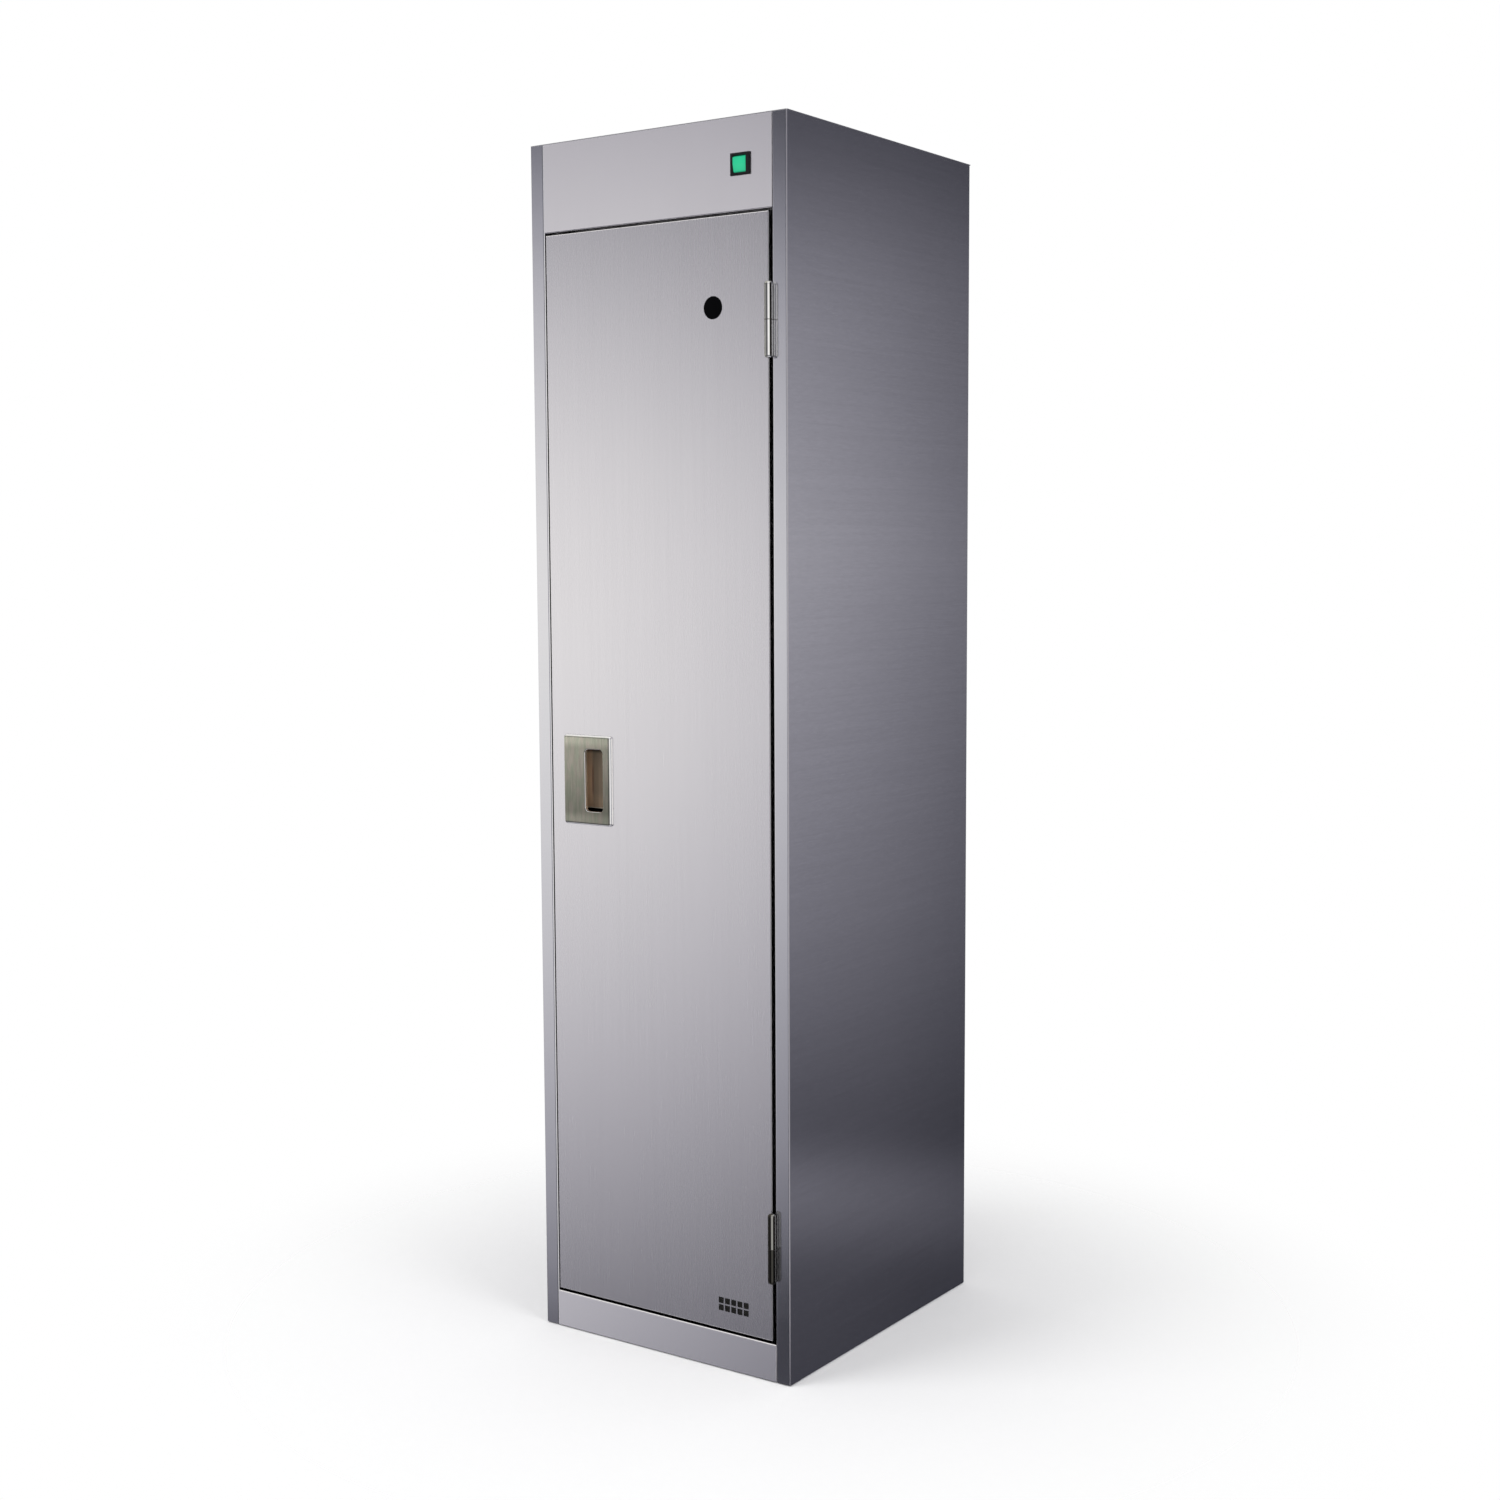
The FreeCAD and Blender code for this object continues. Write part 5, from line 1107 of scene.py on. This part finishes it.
@dataclass(frozen=True)
class PanHeadScrew:
    """A pan-head screw with a cross recess, made head up about the local z axis."""

    head_radius: float = 4.0 * MM
    head_height: float = 2.4 * MM
    head_rings: int = 18
    head_rim: float = 0.25 * MM
    crown_fall: float = 0.22
    edge_fall: float = 0.38
    edge_start: float = 0.72
    recess: float = 1.25 * MM
    recess_start: float = 0.6
    arm_reach: float = 2.2 * MM
    arm_taper: float = 0.5
    arm_half: float = 0.42 * MM
    arm_slope: float = 0.7
    shank_radius: float = 2.0 * MM
    pitch: float = 0.8 * MM
    thread_depth: float = 0.28 * MM
    thread_root: Span = (0.35, 0.6)
    tip: float = 1.2 * MM
    tip_start: float = 0.4
    tip_step: float = 0.5 * MM
    tip_radius: float = 0.4 * MM

    def cross(self, point: Vector) -> float:
        """How deep the cross recess is.

        Args:
            point: A point of the head.

        Returns:
            The depth under that point.
        """
        if point.z < self.recess_start * self.head_height:
            return 0.0
        short, long = sorted((abs(point.x), abs(point.y)))
        along = (self.arm_reach - long) / (self.arm_taper * self.arm_reach)
        across = ((1 + self.arm_slope) * self.arm_half - short) / (self.arm_slope * self.arm_half)
        return self.recess * min(max(along, 0.0), 1.0) * min(max(across, 0.0), 1.0)

    def profile(self, shank: float) -> list[Span]:
        """Radius and height from the crown to the tip.

        Args:
            shank: The length under the head.

        Returns:
            The profile's points.
        """
        points = []
        for i in range(1, self.head_rings + 1):
            out = i / self.head_rings
            rim = max(0.0, (out - self.edge_start) / (1 - self.edge_start))
            rise = 1 - self.crown_fall * out ** 2 - self.edge_fall * rim ** 2
            points.append((self.head_radius * out, self.head_height * rise))
        points.append((self.head_radius, self.head_rim))
        points.append((self.head_radius - self.head_rim, 0.0))
        points.append((self.shank_radius, 0.0))
        root = self.shank_radius - self.thread_depth
        for i in range(max(1, int((shank - self.tip) / self.pitch))):
            points += [(root, -(i + share) * self.pitch) for share in self.thread_root]
            points.append((self.shank_radius, -(i + 1) * self.pitch))
        points.append((self.shank_radius - self.tip_step, self.tip_start * self.tip - shank))
        points.append((self.tip_radius, -shank))
        return points

    def drive(self, name: str, node: bpy.types.Object, way: Vector, turn: float) -> bpy.types.Object:
        """Makes the screws that stand for a CAD node's.

        Args:
            name: The piece's name.
            node: The CAD node, one solid for each screw.
            way: The way along an axis that the heads face.
            turn: How much further each recess is turned than the last, in radians.

        Returns:
            The screws, as one object.
        """
        shell = Shell()
        stand = way.to_track_quat("Z", "Y").to_matrix().to_4x4()
        for i, (low, high) in enumerate(island_boxes(node)):
            length = abs((high - low).dot(way))
            seat = (low + high) / 2 + way * (length / 2 - self.head_height)
            where = Matrix.Translation(seat) @ stand @ Matrix.Rotation(i * turn, 4, "Z")
            shell.turned(self.profile(length - self.head_height), where, relief=self.cross)
        return shell.piece(name)


# Sub-assemblies

@dataclass
class SubAssembly:
    """Pieces that go into the locker together, and the finishes of the CAD nodes that they keep."""

    nodes: dict[str, bpy.types.Object]

    # Each row is a finish and the CAD nodes that wear it.
    FINISHES = ()

    def pieces(self) -> Iterable[bpy.types.Object]:
        """The pieces made here, in place of CAD nodes or beside them."""
        return ()

    def fit(self) -> None:
        """Dresses the CAD nodes, makes the other pieces and reports each."""
        for finish, *worn_by in self.FINISHES:
            for node in worn_by:
                dress(self.nodes[node], finish)
                LOG.info("%s: %s wears %s", type(self).__name__, node, finish.name)
        for piece in self.pieces():
            LOG.info("%s: made %s with %d faces", type(self).__name__, piece.name, len(piece.data.polygons))

    @staticmethod
    def settle(piece: bpy.types.Object, body: str, slot: str, finish: Finish,
               *replaced: str) -> bpy.types.Object:
        """Puts a made piece on its body.

        Args:
            piece: The piece, in place.
            body: The CAD body that it rides on.
            slot: The record's material slot; not used.
            finish: Its finish.
            replaced: The CAD nodes that it stands for.

        Returns:
            The piece.
        """
        dress(piece, finish)
        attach(piece, body)
        if replaced:
            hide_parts(*replaced)
        return piece


@dataclass
class Carcass(SubAssembly):
    """The bent panels, the base and the back's screws."""

    screw: PanHeadScrew = PanHeadScrew()
    screw_turn: float = 0.7

    FINISHES = (
        (CORNER_STEEL, "left_side_panel", "right_side_panel"),
        (FACIA_STEEL, "header_panel"),
        (KICK_STEEL, "kick_plate"),
        (PLAIN_STEEL, "back_panel"),
        (FLAT_STEEL, "top_panel", "floor_panel", "ceiling_panel"),
        (ZINC_STEEL, "base_corner_plates"),
        (PAD_RUBBER, "foot_pads"),
    )

    def pieces(self) -> Iterable[bpy.types.Object]:
        """The screws of the back panel."""
        node, backward = self.nodes["back_panel_screws"], Vector((0, 1, 0))
        screws = self.screw.drive("back_screws", node, backward, self.screw_turn)
        yield self.settle(screws, "cabinet", "zinc_steel", ZINC_STEEL, "back_panel_screws")


@dataclass
class DoorSeal(SubAssembly):
    """The bulb gasket round the opening."""

    width: float = 10 * MM
    base: float = 1.1 * MM
    bulb_inset: float = 1.6 * MM
    lip: float = 0.5 * MM
    crown: float = 0.7
    rounds: int = 14

    def profile(self, depth: float) -> list[Span]:
        """The gasket's section.

        Args:
            depth: From the stop to the crown.

        Returns:
            Points across and out, round a flat base and a crowned bulb.
        """
        points = [(0.0, 0.0), (0.0, self.base - self.lip), (self.lip, self.base)]
        middle = self.width / 2
        for i in range(self.rounds + 1):
            angle = math.pi * (1 - i / self.rounds)
            across = middle + (middle - self.bulb_inset) * math.cos(angle)
            points.append((across, self.base + (depth - self.base) * math.sin(angle) ** self.crown))
        points += [(self.width - self.lip, self.base), (self.width, self.base - self.lip), (self.width, 0.0)]
        return points

    def pieces(self) -> Iterable[bpy.types.Object]:
        """The gasket, mitred at its corners."""
        low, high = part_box("door_seal")
        section = self.profile(high.y - low.y)
        shell = Shell()
        mitres = ((False, False), (True, False), (True, True), (False, True))
        for right, top in mitres:
            for across, out in section:
                x = high.x - across if right else low.x + across
                z = high.z - across if top else low.z + across
                shell.points.append(Vector((x, high.y - out, z)))
        count = len(section)
        for corner in range(len(mitres)):
            here, there = corner * count, (corner + 1) % len(mitres) * count
            for i in range(count):
                j = (i + 1) % count
                shell.faces.append((here + i, here + j, there + j, there + i))
        yield self.settle(shell.piece("door_gasket"), "cabinet", "seal_rubber", SEAL_RUBBER, "door_seal")


@dataclass
class Door(SubAssembly):
    """The door's sheets, window, vent and catch plates."""

    foam_grid: float = 1.2 * MM
    foam_cell: float = 3.4 * MM
    foam_pit: float = 1.1 * MM
    pit_reach: float = 0.6

    FINISHES = (
        (DOOR_STEEL, "door_skin"),
        (PLAIN_STEEL, "door_inner_panel"),
        (ZINC_STEEL, "door_stiffener", "handle_nuts", "catch_strikes"),
        (WINDOW_LENS, "sight_window"),
        (BLACK_PLASTIC, "window_sleeve"),
    )

    def foam_faces(self, low: Vector, high: Vector) -> Shell:
        """The six faces of the foam block, each a fine grid.

        Args:
            low: The block's lowest corner.
            high: Its highest corner.

        Returns:
            The faces, not yet joined at the block's edges.
        """
        shell = Shell()
        steps = [max(2, round(size / self.foam_grid)) for size in high - low]
        for axis in range(3):
            u, v = (i for i in range(3) if i != axis)
            for end in (low, high):
                start = len(shell.points)
                for i in range(steps[u] + 1):
                    for j in range(steps[v] + 1):
                        point = end.copy()
                        point[u] = low[u] + (high[u] - low[u]) * i / steps[u]
                        point[v] = low[v] + (high[v] - low[v]) * j / steps[v]
                        shell.points.append(point)
                row = steps[v] + 1
                for i in range(steps[u]):
                    for j in range(steps[v]):
                        here = start + i * row + j
                        shell.faces.append((here, here + 1, here + row + 1, here + row))
        return shell

    def foam(self) -> bpy.types.Object:
        """Makes the filter block, pitted with open cells.

        Returns:
            The block.
        """
        low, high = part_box("vent_filter")
        block = self.foam_faces(low, high).shape()
        bmesh.ops.remove_doubles(block, verts=block.verts, dist=WELD)
        middle = (low + high) / 2
        for vert in block.verts:
            near = noise.voronoi(vert.co / self.foam_cell)[0][0]
            pit = self.foam_pit * max(0.0, 1 - near / self.pit_reach)
            vert.co -= (vert.co - middle).normalized() * pit
        return show("vent_foam", block)

    def pieces(self) -> Iterable[bpy.types.Object]:
        """The vent's foam."""
        yield self.settle(self.foam(), "door", "filter_foam", VENT_FOAM, "vent_filter")


@dataclass
class Pull(SubAssembly):
    """The recessed pull."""

    FINISHES = (
        (PULL_STEEL, "handle_plate"),
        (CUP_STEEL, "handle_cup"),
    )


@dataclass
class Hinges(SubAssembly):
    """The two lift-off hinges, the lower one in darker copies of the barrel steel as painted shade."""

    FINISHES = (
        (BARREL_STEEL, "hinge_upper_frame_leaf", "hinge_upper_door_leaf", "hinge_upper_pin"),
        (LOWER_SHADED_BARREL, "hinge_lower_door_leaf", "hinge_lower_pin"),
        (LOWER_DEEP_SHADED_BARREL, "hinge_lower_frame_leaf"),
        (DARK_WASHER, "hinge_upper_washer", "hinge_lower_washer"),
    )


@dataclass
class Controls(SubAssembly):
    """The lit switch, the inlet, the interlock and the catches."""

    FINISHES = (
        (BLACK_PLASTIC, "switch_bezel", "power_inlet", "interlock_switch"),
        (SWITCH_LENS, "switch_rocker"),
        (CONTACT_BRASS, "switch_terminals", "inlet_pins"),
        (WHITE_PLASTIC, "interlock_plunger", "magnet_catch_upper", "magnet_catch_lower"),
    )


@dataclass
class ExhaustFan(SubAssembly):
    """The fan over the ceiling."""

    axis: Span = (0.0, 40 * MM)
    blades: int = 7
    blade_roots: Span = (21.4 * MM, 53.6 * MM)
    blade_rings: int = 9
    blade_steps: int = 10
    blade_run: float = 19 * MM
    blade_heights: Span = (1668.9 * MM, 1685.9 * MM)
    blade_gauge: float = 1.7 * MM
    blade_edge: float = 0.25
    blade_belly: float = 0.6
    camber: float = 0.10
    sickle: float = 0.24
    hub_radius: float = 22 * MM
    hub_round: float = 1.8 * MM
    hub_round_steps: int = 6
    hub_chamfer: float = 0.5 * MM
    hub_heights: Span = (1667.2 * MM, 1687.6 * MM)
    dish_depth: float = 0.6 * MM
    dish_middle: float = 0.5 * MM
    dish_edge: Span = (0.62, 0.66)
    shaft_radius: float = 2.5 * MM
    shaft_chamfer: float = 0.3 * MM
    shaft_top: float = 1696.6 * MM
    screw: PanHeadScrew = PanHeadScrew()
    screw_turn: float = 0.9

    FINISHES = (
        (FAN_PAINT, "fan_frame"),
        (WIRE_STEEL, "fan_guard"),
    )

    def blade_section(self, out: float, heading: float) -> list[Vector]:
        """One closed section of a blade.

        Args:
            out: 0 at the root, 1 at the tip.
            heading: The blade's angle round the axis.

        Returns:
            The section's points, along its upper side and back along its lower one.
        """
        root, tip = self.blade_roots
        radius = root + (tip - root) * out
        low, high = self.blade_heights
        upper, lower = [], []
        for i in range(self.blade_steps + 1):
            along = i / self.blade_steps
            belly = math.sin(math.pi * along)
            bulge = self.blade_edge + (1 - self.blade_edge) * belly ** self.blade_belly
            half = HALF * self.blade_gauge * bulge
            angle = heading + (along - HALF) * self.blade_run / radius - self.sickle * out ** 2
            inset = half + self.blade_gauge * HALF
            rise = low + inset + (high - low - 2 * inset) * (along + self.camber * belly)
            x = self.axis[0] + radius * math.sin(angle)
            y = self.axis[1] + radius * math.cos(angle)
            upper.append(Vector((x, y, min(rise + half, high))))
            lower.append(Vector((x, y, max(rise - half, low))))
        return upper + lower[::-1]

    def hub_profile(self) -> list[Span]:
        """The hub with its shaft, from the dished underside to the shaft's top.

        Returns:
            Radius and height of each ring.
        """
        bottom, top = self.hub_heights
        inner, outer = self.dish_edge
        radius, rounding = self.hub_radius, self.hub_round
        dish = bottom + self.dish_depth
        profile = [(self.dish_middle, dish), (inner * radius, dish), (outer * radius, bottom)]
        for i in range(self.hub_round_steps + 1):
            angle = i / self.hub_round_steps * math.pi / 2
            inward, upward = rounding * (1 - math.sin(angle)), rounding * (1 - math.cos(angle))
            profile.append((radius - inward, bottom + upward))
        profile += [(radius, top - self.hub_chamfer), (radius - self.hub_chamfer, top)]
        profile.append((self.shaft_radius, top))
        profile.append((self.shaft_radius, self.shaft_top - self.shaft_chamfer))
        profile.append((self.shaft_radius - self.shaft_chamfer, self.shaft_top))
        return profile

    def impeller(self) -> bpy.types.Object:
        """Makes the hub with its shaft and curved blades.

        Returns:
            The impeller.
        """
        shell = Shell()
        shell.turned(self.hub_profile(), Matrix.Translation((*self.axis, 0.0)), sides=56)
        for blade in range(self.blades):
            heading = FULL_TURN * blade / self.blades
            outs = [k / self.blade_rings for k in range(self.blade_rings + 1)]
            shell.rings([self.blade_section(out, heading) for out in outs])
        return shell.piece("fan_impeller")

    def pieces(self) -> Iterable[bpy.types.Object]:
        """The impeller and the fan's screws."""
        yield self.settle(self.impeller(), "fan", "fan_plastic", FAN_PLASTIC, "fan_rotor")
        node, down = self.nodes["fan_screws"], Vector((0, 0, -1))
        screws = self.screw.drive("fan_fixings", node, down, self.screw_turn)
        yield self.settle(screws, "cabinet", "zinc_steel", ZINC_STEEL, "fan_screws")


@dataclass
class GermicidalLamp(SubAssembly):
    """The lamp on the back wall.

    The stem has a radius at each reach from the tube's end, and a post a share of the coil's half length.
    """

    tube_ends: Span = (981 * MM, 1419 * MM)
    tube_axis: Span = (0.0, 209.3 * MM)
    stem: Stops = (
        (7.5 * MM, 2 * MM), (6.8 * MM, 8 * MM), (4.2 * MM, 18 * MM), (3.4 * MM, 30 * MM), (2.6 * MM, 31 * MM),
    )
    posts: Stops = ((0.4, 28 * MM), (0.5, 31 * MM), (0.9, 34 * MM), (1.0, 37 * MM), (1.0, 40 * MM))
    post_wire: float = 0.4 * MM
    coil_reach: float = 39 * MM
    coil_half: float = 4.6 * MM
    coil_radius: float = 0.9 * MM
    coil_turns: int = 12
    coil_steps: int = 14
    coil_wire: float = 0.2 * MM

    FINISHES = (
        (GREY_ENAMEL, "lamp_base"),
        (WHITE_PLASTIC, "lamp_holders"),
        (TUBE_GLASS, "lamp_tube"),
        (CAP_METAL, "lamp_caps"),
        (WIRE_STEEL, "lamp_guard"),
    )

    def cathode(self, shell: Shell, end: float, way: float) -> None:
        """Adds one cathode: a pressed stem, two posts and the coil between them.

        Args:
            shell: Where it goes.
            end: The height of the tube's end.
            way: 1 for the lower end, -1 for the upper one.
        """
        x, y = self.tube_axis
        stem = [(radius, end + way * reach) for radius, reach in self.stem]
        shell.turned(stem, Matrix.Translation((x, y, 0.0)), sides=24)
        for half in (-self.coil_half, self.coil_half):
            post = [Vector((x + share * half, y, end + way * reach)) for share, reach in self.posts]
            shell.tube(post, self.post_wire)
        winding, steps = [], self.coil_turns * self.coil_steps
        for i in range(steps + 1):
            angle = FULL_TURN * self.coil_turns * i / steps
            along = self.coil_half * (2 * i / steps - 1)
            back, up = self.coil_radius * math.cos(angle), self.coil_radius * math.sin(angle)
            winding.append(Vector((x + along, y + back, end + way * self.coil_reach + up)))
        shell.tube(winding, self.coil_wire, sides=6)

    def pieces(self) -> Iterable[bpy.types.Object]:
        """The cathodes in the tube's ends."""
        shell = Shell()
        for end, way in zip(self.tube_ends, (1, -1)):
            self.cathode(shell, end, way)
        yield self.settle(shell.piece("lamp_cathodes"), "cabinet", "lamp_cap_metal", CATHODE_METAL)


@dataclass
class Fittings(SubAssembly):
    """The rail and the shelf."""

    FINISHES = (
        (RAIL_STEEL, "hanger_rail", "rail_sockets"),
        (FLAT_STEEL, "lower_shelf"),
        (ZINC_STEEL, "shelf_clips"),
    )


@dataclass
class ElectricalBay(SubAssembly):
    """What stands over the ceiling: ballast, terminals, timer and leads."""

    FINISHES = (
        (GREY_ENAMEL, "ballast"),
        (WHITE_PLASTIC, "terminal_block"),
        (GREY_PLASTIC, "timer_module"),
        (LEAD_SHEATH, "supply_lead", "switch_lead", "fan_lead", "lamp_lead", "interlock_lead"),
    )


# Stage

@dataclass(frozen=True)
class StudioFloor(Finish):
    """A pale floor that fades out into the white background."""

    tint: Colour = (0.93, 0.93, 0.93)
    speckles: Texture = Texture((90.0,) * 3, detail=3.0)
    speckle_shades: Span = (0.99, 1.01)
    fade: Span = (0.30, 1.10)

    def lay(self, bench: NodeBench) -> None:
        """Lays the floor's nodes.

        Args:
            bench: Where they go.
        """
        place = bench.place()
        far = bench.vector("LENGTH", place, output="Value")
        speckle = self.speckles.value(bench, place)
        ground = bench.shader("ShaderNodeBsdfPrincipled", {
            "Base Color": bench.shades(speckle, self.tint, self.speckle_shades),
            "Roughness": 1.0,
            "Specular IOR Level": 0.0,
        })
        clear = bench.shader("ShaderNodeBsdfTransparent", {"Color": (1.0, 1.0, 1.0)})
        bench.output("ShaderNodeOutputMaterial", bench.mix(bench.step(far, *self.fade), ground, clear))


@dataclass(frozen=True)
class CardRow:
    """One row of cards: how far they let the white background through, by degrees up and degrees round."""

    levels: Stops
    bearings: Stops
    spread: Stops = ((0, 1.0), (1, 1.0))

    def gap(self, bench: NodeBench, rise: Wire, bearing: Wire) -> Wire:
        """How open the row is.

        Args:
            bench: Where the nodes go.
            rise: Height on the ring of cards, 0 below and 1 overhead.
            bearing: The way round, 0 and 1 in front and a half behind.

        Returns:
            0 where the cards are whole, 1 where there are none.
        """
        by_level = [(HALF + HALF * math.sin(math.radians(angle)), grey) for angle, grey in self.levels]
        by_bearing, spread = (
            [(HALF + angle / DEGREES_ROUND, grey) for angle, grey in stops]
            for stops in (self.bearings, self.spread)
        )
        seen = (rise - HALF) * bench.grey_ramp(bearing, spread) + HALF
        return bench.grey_ramp(seen, by_level) * bench.grey_ramp(bearing, by_bearing)


@dataclass(frozen=True)
class GradedCards(Finish):
    """Dark cards round the set. The steel sees the white background where they thin out."""

    card: Colour = (0.018, 0.019, 0.026)
    thin: Colour = (0.82, 0.805, 1.0)
    white: Colour = (1.0, 0.985, 0.985)
    front: CardRow = CardRow(
        levels=((-60, 0.1), (-38, 0.27), (-28, 0.15), (-25, 0.0), (-23.8, 0.01), (-21.8, 0.30), (-18.5, 0.48),
                (-12, 0.74), (-6, 0.92), (-2, 1.0), (1, 0.97), (7, 0.70), (11, 0.34), (14, 0.06), (16, 0.01),
                (19, 0.08), (23, 0.8), (27, 1.0)),
        bearings=((-180, 0.42), (-170, 0.32), (-163, 0.2), (-156, 0.32), (-150, 0.66), (-146, 0.85),
                  (-140, 1.0), (-60, 0.9), (-30, 0.7), (1, 0.55), (9, 0.0), (163, 0.0), (169, 0.42),
                  (180, 0.42)),
        spread=((-180, 1.0), (-147, 1.0), (-141.8, 0.85), (-139.3, 0.94), (-120, 0.9), (-90, 1.0)),
    )
    side: CardRow = CardRow(
        levels=((-30, 0.06), (-23.5, 0.1), (-21.5, 0.3), (-20.5, 0.27), (-19.5, 0.11), (-12, 0.35), (0, 0.64),
                (8, 0.46), (14, 0.1), (24, 0.42), (60, 0.17)),
        bearings=((18, 0.0), (26, 0.1), (34, 0.7), (44, 1.0), (50, 0.5), (60, 0.4), (70, 0.9), (100, 0.9),
                  (105, 0.0)),
    )
    near: CardRow = CardRow(
        levels=((-28, 0.0), (-25, 0.85), (-9, 0.95), (-3, 1.0), (8, 1.0), (12, 0.7), (30, 0.6)),
        bearings=((102, 0.0), (109, 1.0), (163, 1.0), (169, 0.0)),
    )
    open_ends: CardRow = CardRow(
        levels=((-90, 0.6), (-52, 0.5), (-40, 0.0), (34, 0.0), (48, 0.6), (90, 0.65)),
        bearings=((-180, 1.0), (180, 1.0)),
    )

    def lay(self, bench: NodeBench) -> None:
        """Lays the cards' nodes.

        Args:
            bench: Where they go.
        """
        way = bench.vector("NORMALIZE", bench.place())
        rise = bench.part(way, "Z") * HALF + HALF
        bearing = bench.math("ARCTAN2", bench.part(way, "X"), bench.part(way, "Y")) / FULL_TURN + HALF
        gap = self.open_ends.gap(bench, rise, bearing)
        for row in (self.front, self.side, self.near):
            gap = gap + row.gap(bench, rise, bearing)
        black = bench.shader("ShaderNodeEmission", {"Color": self.card, "Strength": 1.0})
        veil = bench.shader("ShaderNodeBsdfTransparent", {"Color": self.thin})
        clear = bench.shader("ShaderNodeBsdfTransparent", {"Color": self.white})
        light = bench.mix(gap, veil, clear)
        bench.output("ShaderNodeOutputMaterial", bench.mix(gap, black, light))


@dataclass(frozen=True)
class SoftLamp:
    """A square soft lamp, with its size in metres and its power in watts."""

    name: str
    place: Triple
    size: float
    power: float
    aim: Triple = (0.0, 0.0, 0.8)

    def hang(self) -> None:
        """Hangs the lamp, out of sight of reflections."""
        light = bpy.data.lights.new(self.name, "AREA")
        light.shape = "SQUARE"
        light.size = self.size
        light.energy = self.power
        made = bpy.data.objects.new(self.name, light)
        made.location = self.place
        made.rotation_euler = (Vector(self.aim) - Vector(self.place)).to_track_quat("-Z", "Y").to_euler()
        made.visible_glossy = False
        bpy.context.scene.collection.objects.link(made)


@dataclass
class Studio:
    """Floor, cards, lamps, background and camera."""

    floor_radius: float = 3.0
    floor_sides: int = 96
    card_radius: float = 14.0
    card_detail: int = 4
    eye_level: float = 1.2
    key: SoftLamp = SoftLamp("key_lamp", (-1.6, -2.6, 3.4), size=2.0, power=60.0)
    fill: SoftLamp = SoftLamp("fill_lamp", (2.8, -0.6, 3.2), size=1.8, power=40.0)
    ambient: Colour = (0.70, 0.70, 0.71)
    white: Colour = (1.0, 1.0, 1.0)
    camera_place: Triple = (1.8251, -2.6584, 1.1962)
    heading: float = 34.71
    dip: float = 5.50
    roll: float = -0.27
    lens: float = 49.94
    sensor: float = 36.0

    def floor(self) -> None:
        """Lays the floor disc."""
        disc = bmesh.new()
        bmesh.ops.create_circle(disc, cap_ends=True, segments=self.floor_sides, radius=self.floor_radius)
        floor = show("studio_floor", disc, smooth=False)
        dress(floor, StudioFloor("studio_floor_pale"))
        floor.visible_glossy = False

    def cards(self) -> None:
        """Hangs the graded cards round the set, where only reflections find them."""
        dome = bmesh.new()
        bmesh.ops.create_icosphere(dome, subdivisions=self.card_detail, radius=self.card_radius)
        cards = show("studio_cards", dome)
        cards.location.z = self.eye_level
        dress(cards, GradedCards("studio_cards_graded"))
        cards.visible_camera = False
        cards.visible_diffuse = False
        cards.visible_shadow = False
        cards.visible_transmission = False

    def background(self) -> None:
        """Makes the background white to the eye, to metal and to glass, and an even grey to all else."""
        world = bpy.data.worlds.new("studio_background")
        world.use_nodes = True
        bpy.context.scene.world = world
        bench = NodeBench(world.node_tree)
        path = bench.node("ShaderNodeLightPath")
        seen = bench.wire(path, "Is Camera Ray") + bench.wire(path, "Is Glossy Ray")
        seen = bench.math("MINIMUM", seen + bench.wire(path, "Is Transmission Ray"), 1.0)
        even = bench.shader("ShaderNodeBackground", {"Color": self.ambient, "Strength": 1.0})
        white = bench.shader("ShaderNodeBackground", {"Color": self.white, "Strength": 1.0})
        bench.output("ShaderNodeOutputWorld", bench.mix(seen, even, white))

    def camera(self) -> None:
        """Stands the camera where the photograph was taken from."""
        data = bpy.data.cameras.new("studio_camera")
        data.lens = self.lens
        data.sensor_width = self.sensor
        made = bpy.data.objects.new("studio_camera", data)
        stand = Matrix.Translation(self.camera_place)
        for degrees, axis in ((self.heading, "Z"), (UPRIGHT_DEGREES - self.dip, "X"), (self.roll, "Z")):
            stand = stand @ Matrix.Rotation(math.radians(degrees), 4, axis)
        made.matrix_world = stand
        bpy.context.scene.collection.objects.link(made)
        bpy.context.scene.camera = made

    def set_up(self) -> None:
        """Sets up the whole studio."""
        self.floor()
        self.cards()
        self.key.hang()
        self.fill.hang()
        self.background()
        self.camera()
        bpy.context.scene.view_settings.view_transform = "Standard"
        LOG.info("Studio: set up")


SUB_ASSEMBLIES = (
    Carcass, DoorSeal, Door, Pull, Hinges, Controls, ExhaustFan, GermicidalLamp, Fittings, ElectricalBay,
)


def main() -> None:
    """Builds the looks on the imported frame."""
    logging.basicConfig(level=logging.INFO, format="%(name)s: %(message)s")
    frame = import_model()
    nodes = frame["nodes"]
    Studio().set_up()
    for kind in SUB_ASSEMBLIES:
        kind(nodes).fit()


if __name__ == "__main__":
    main()
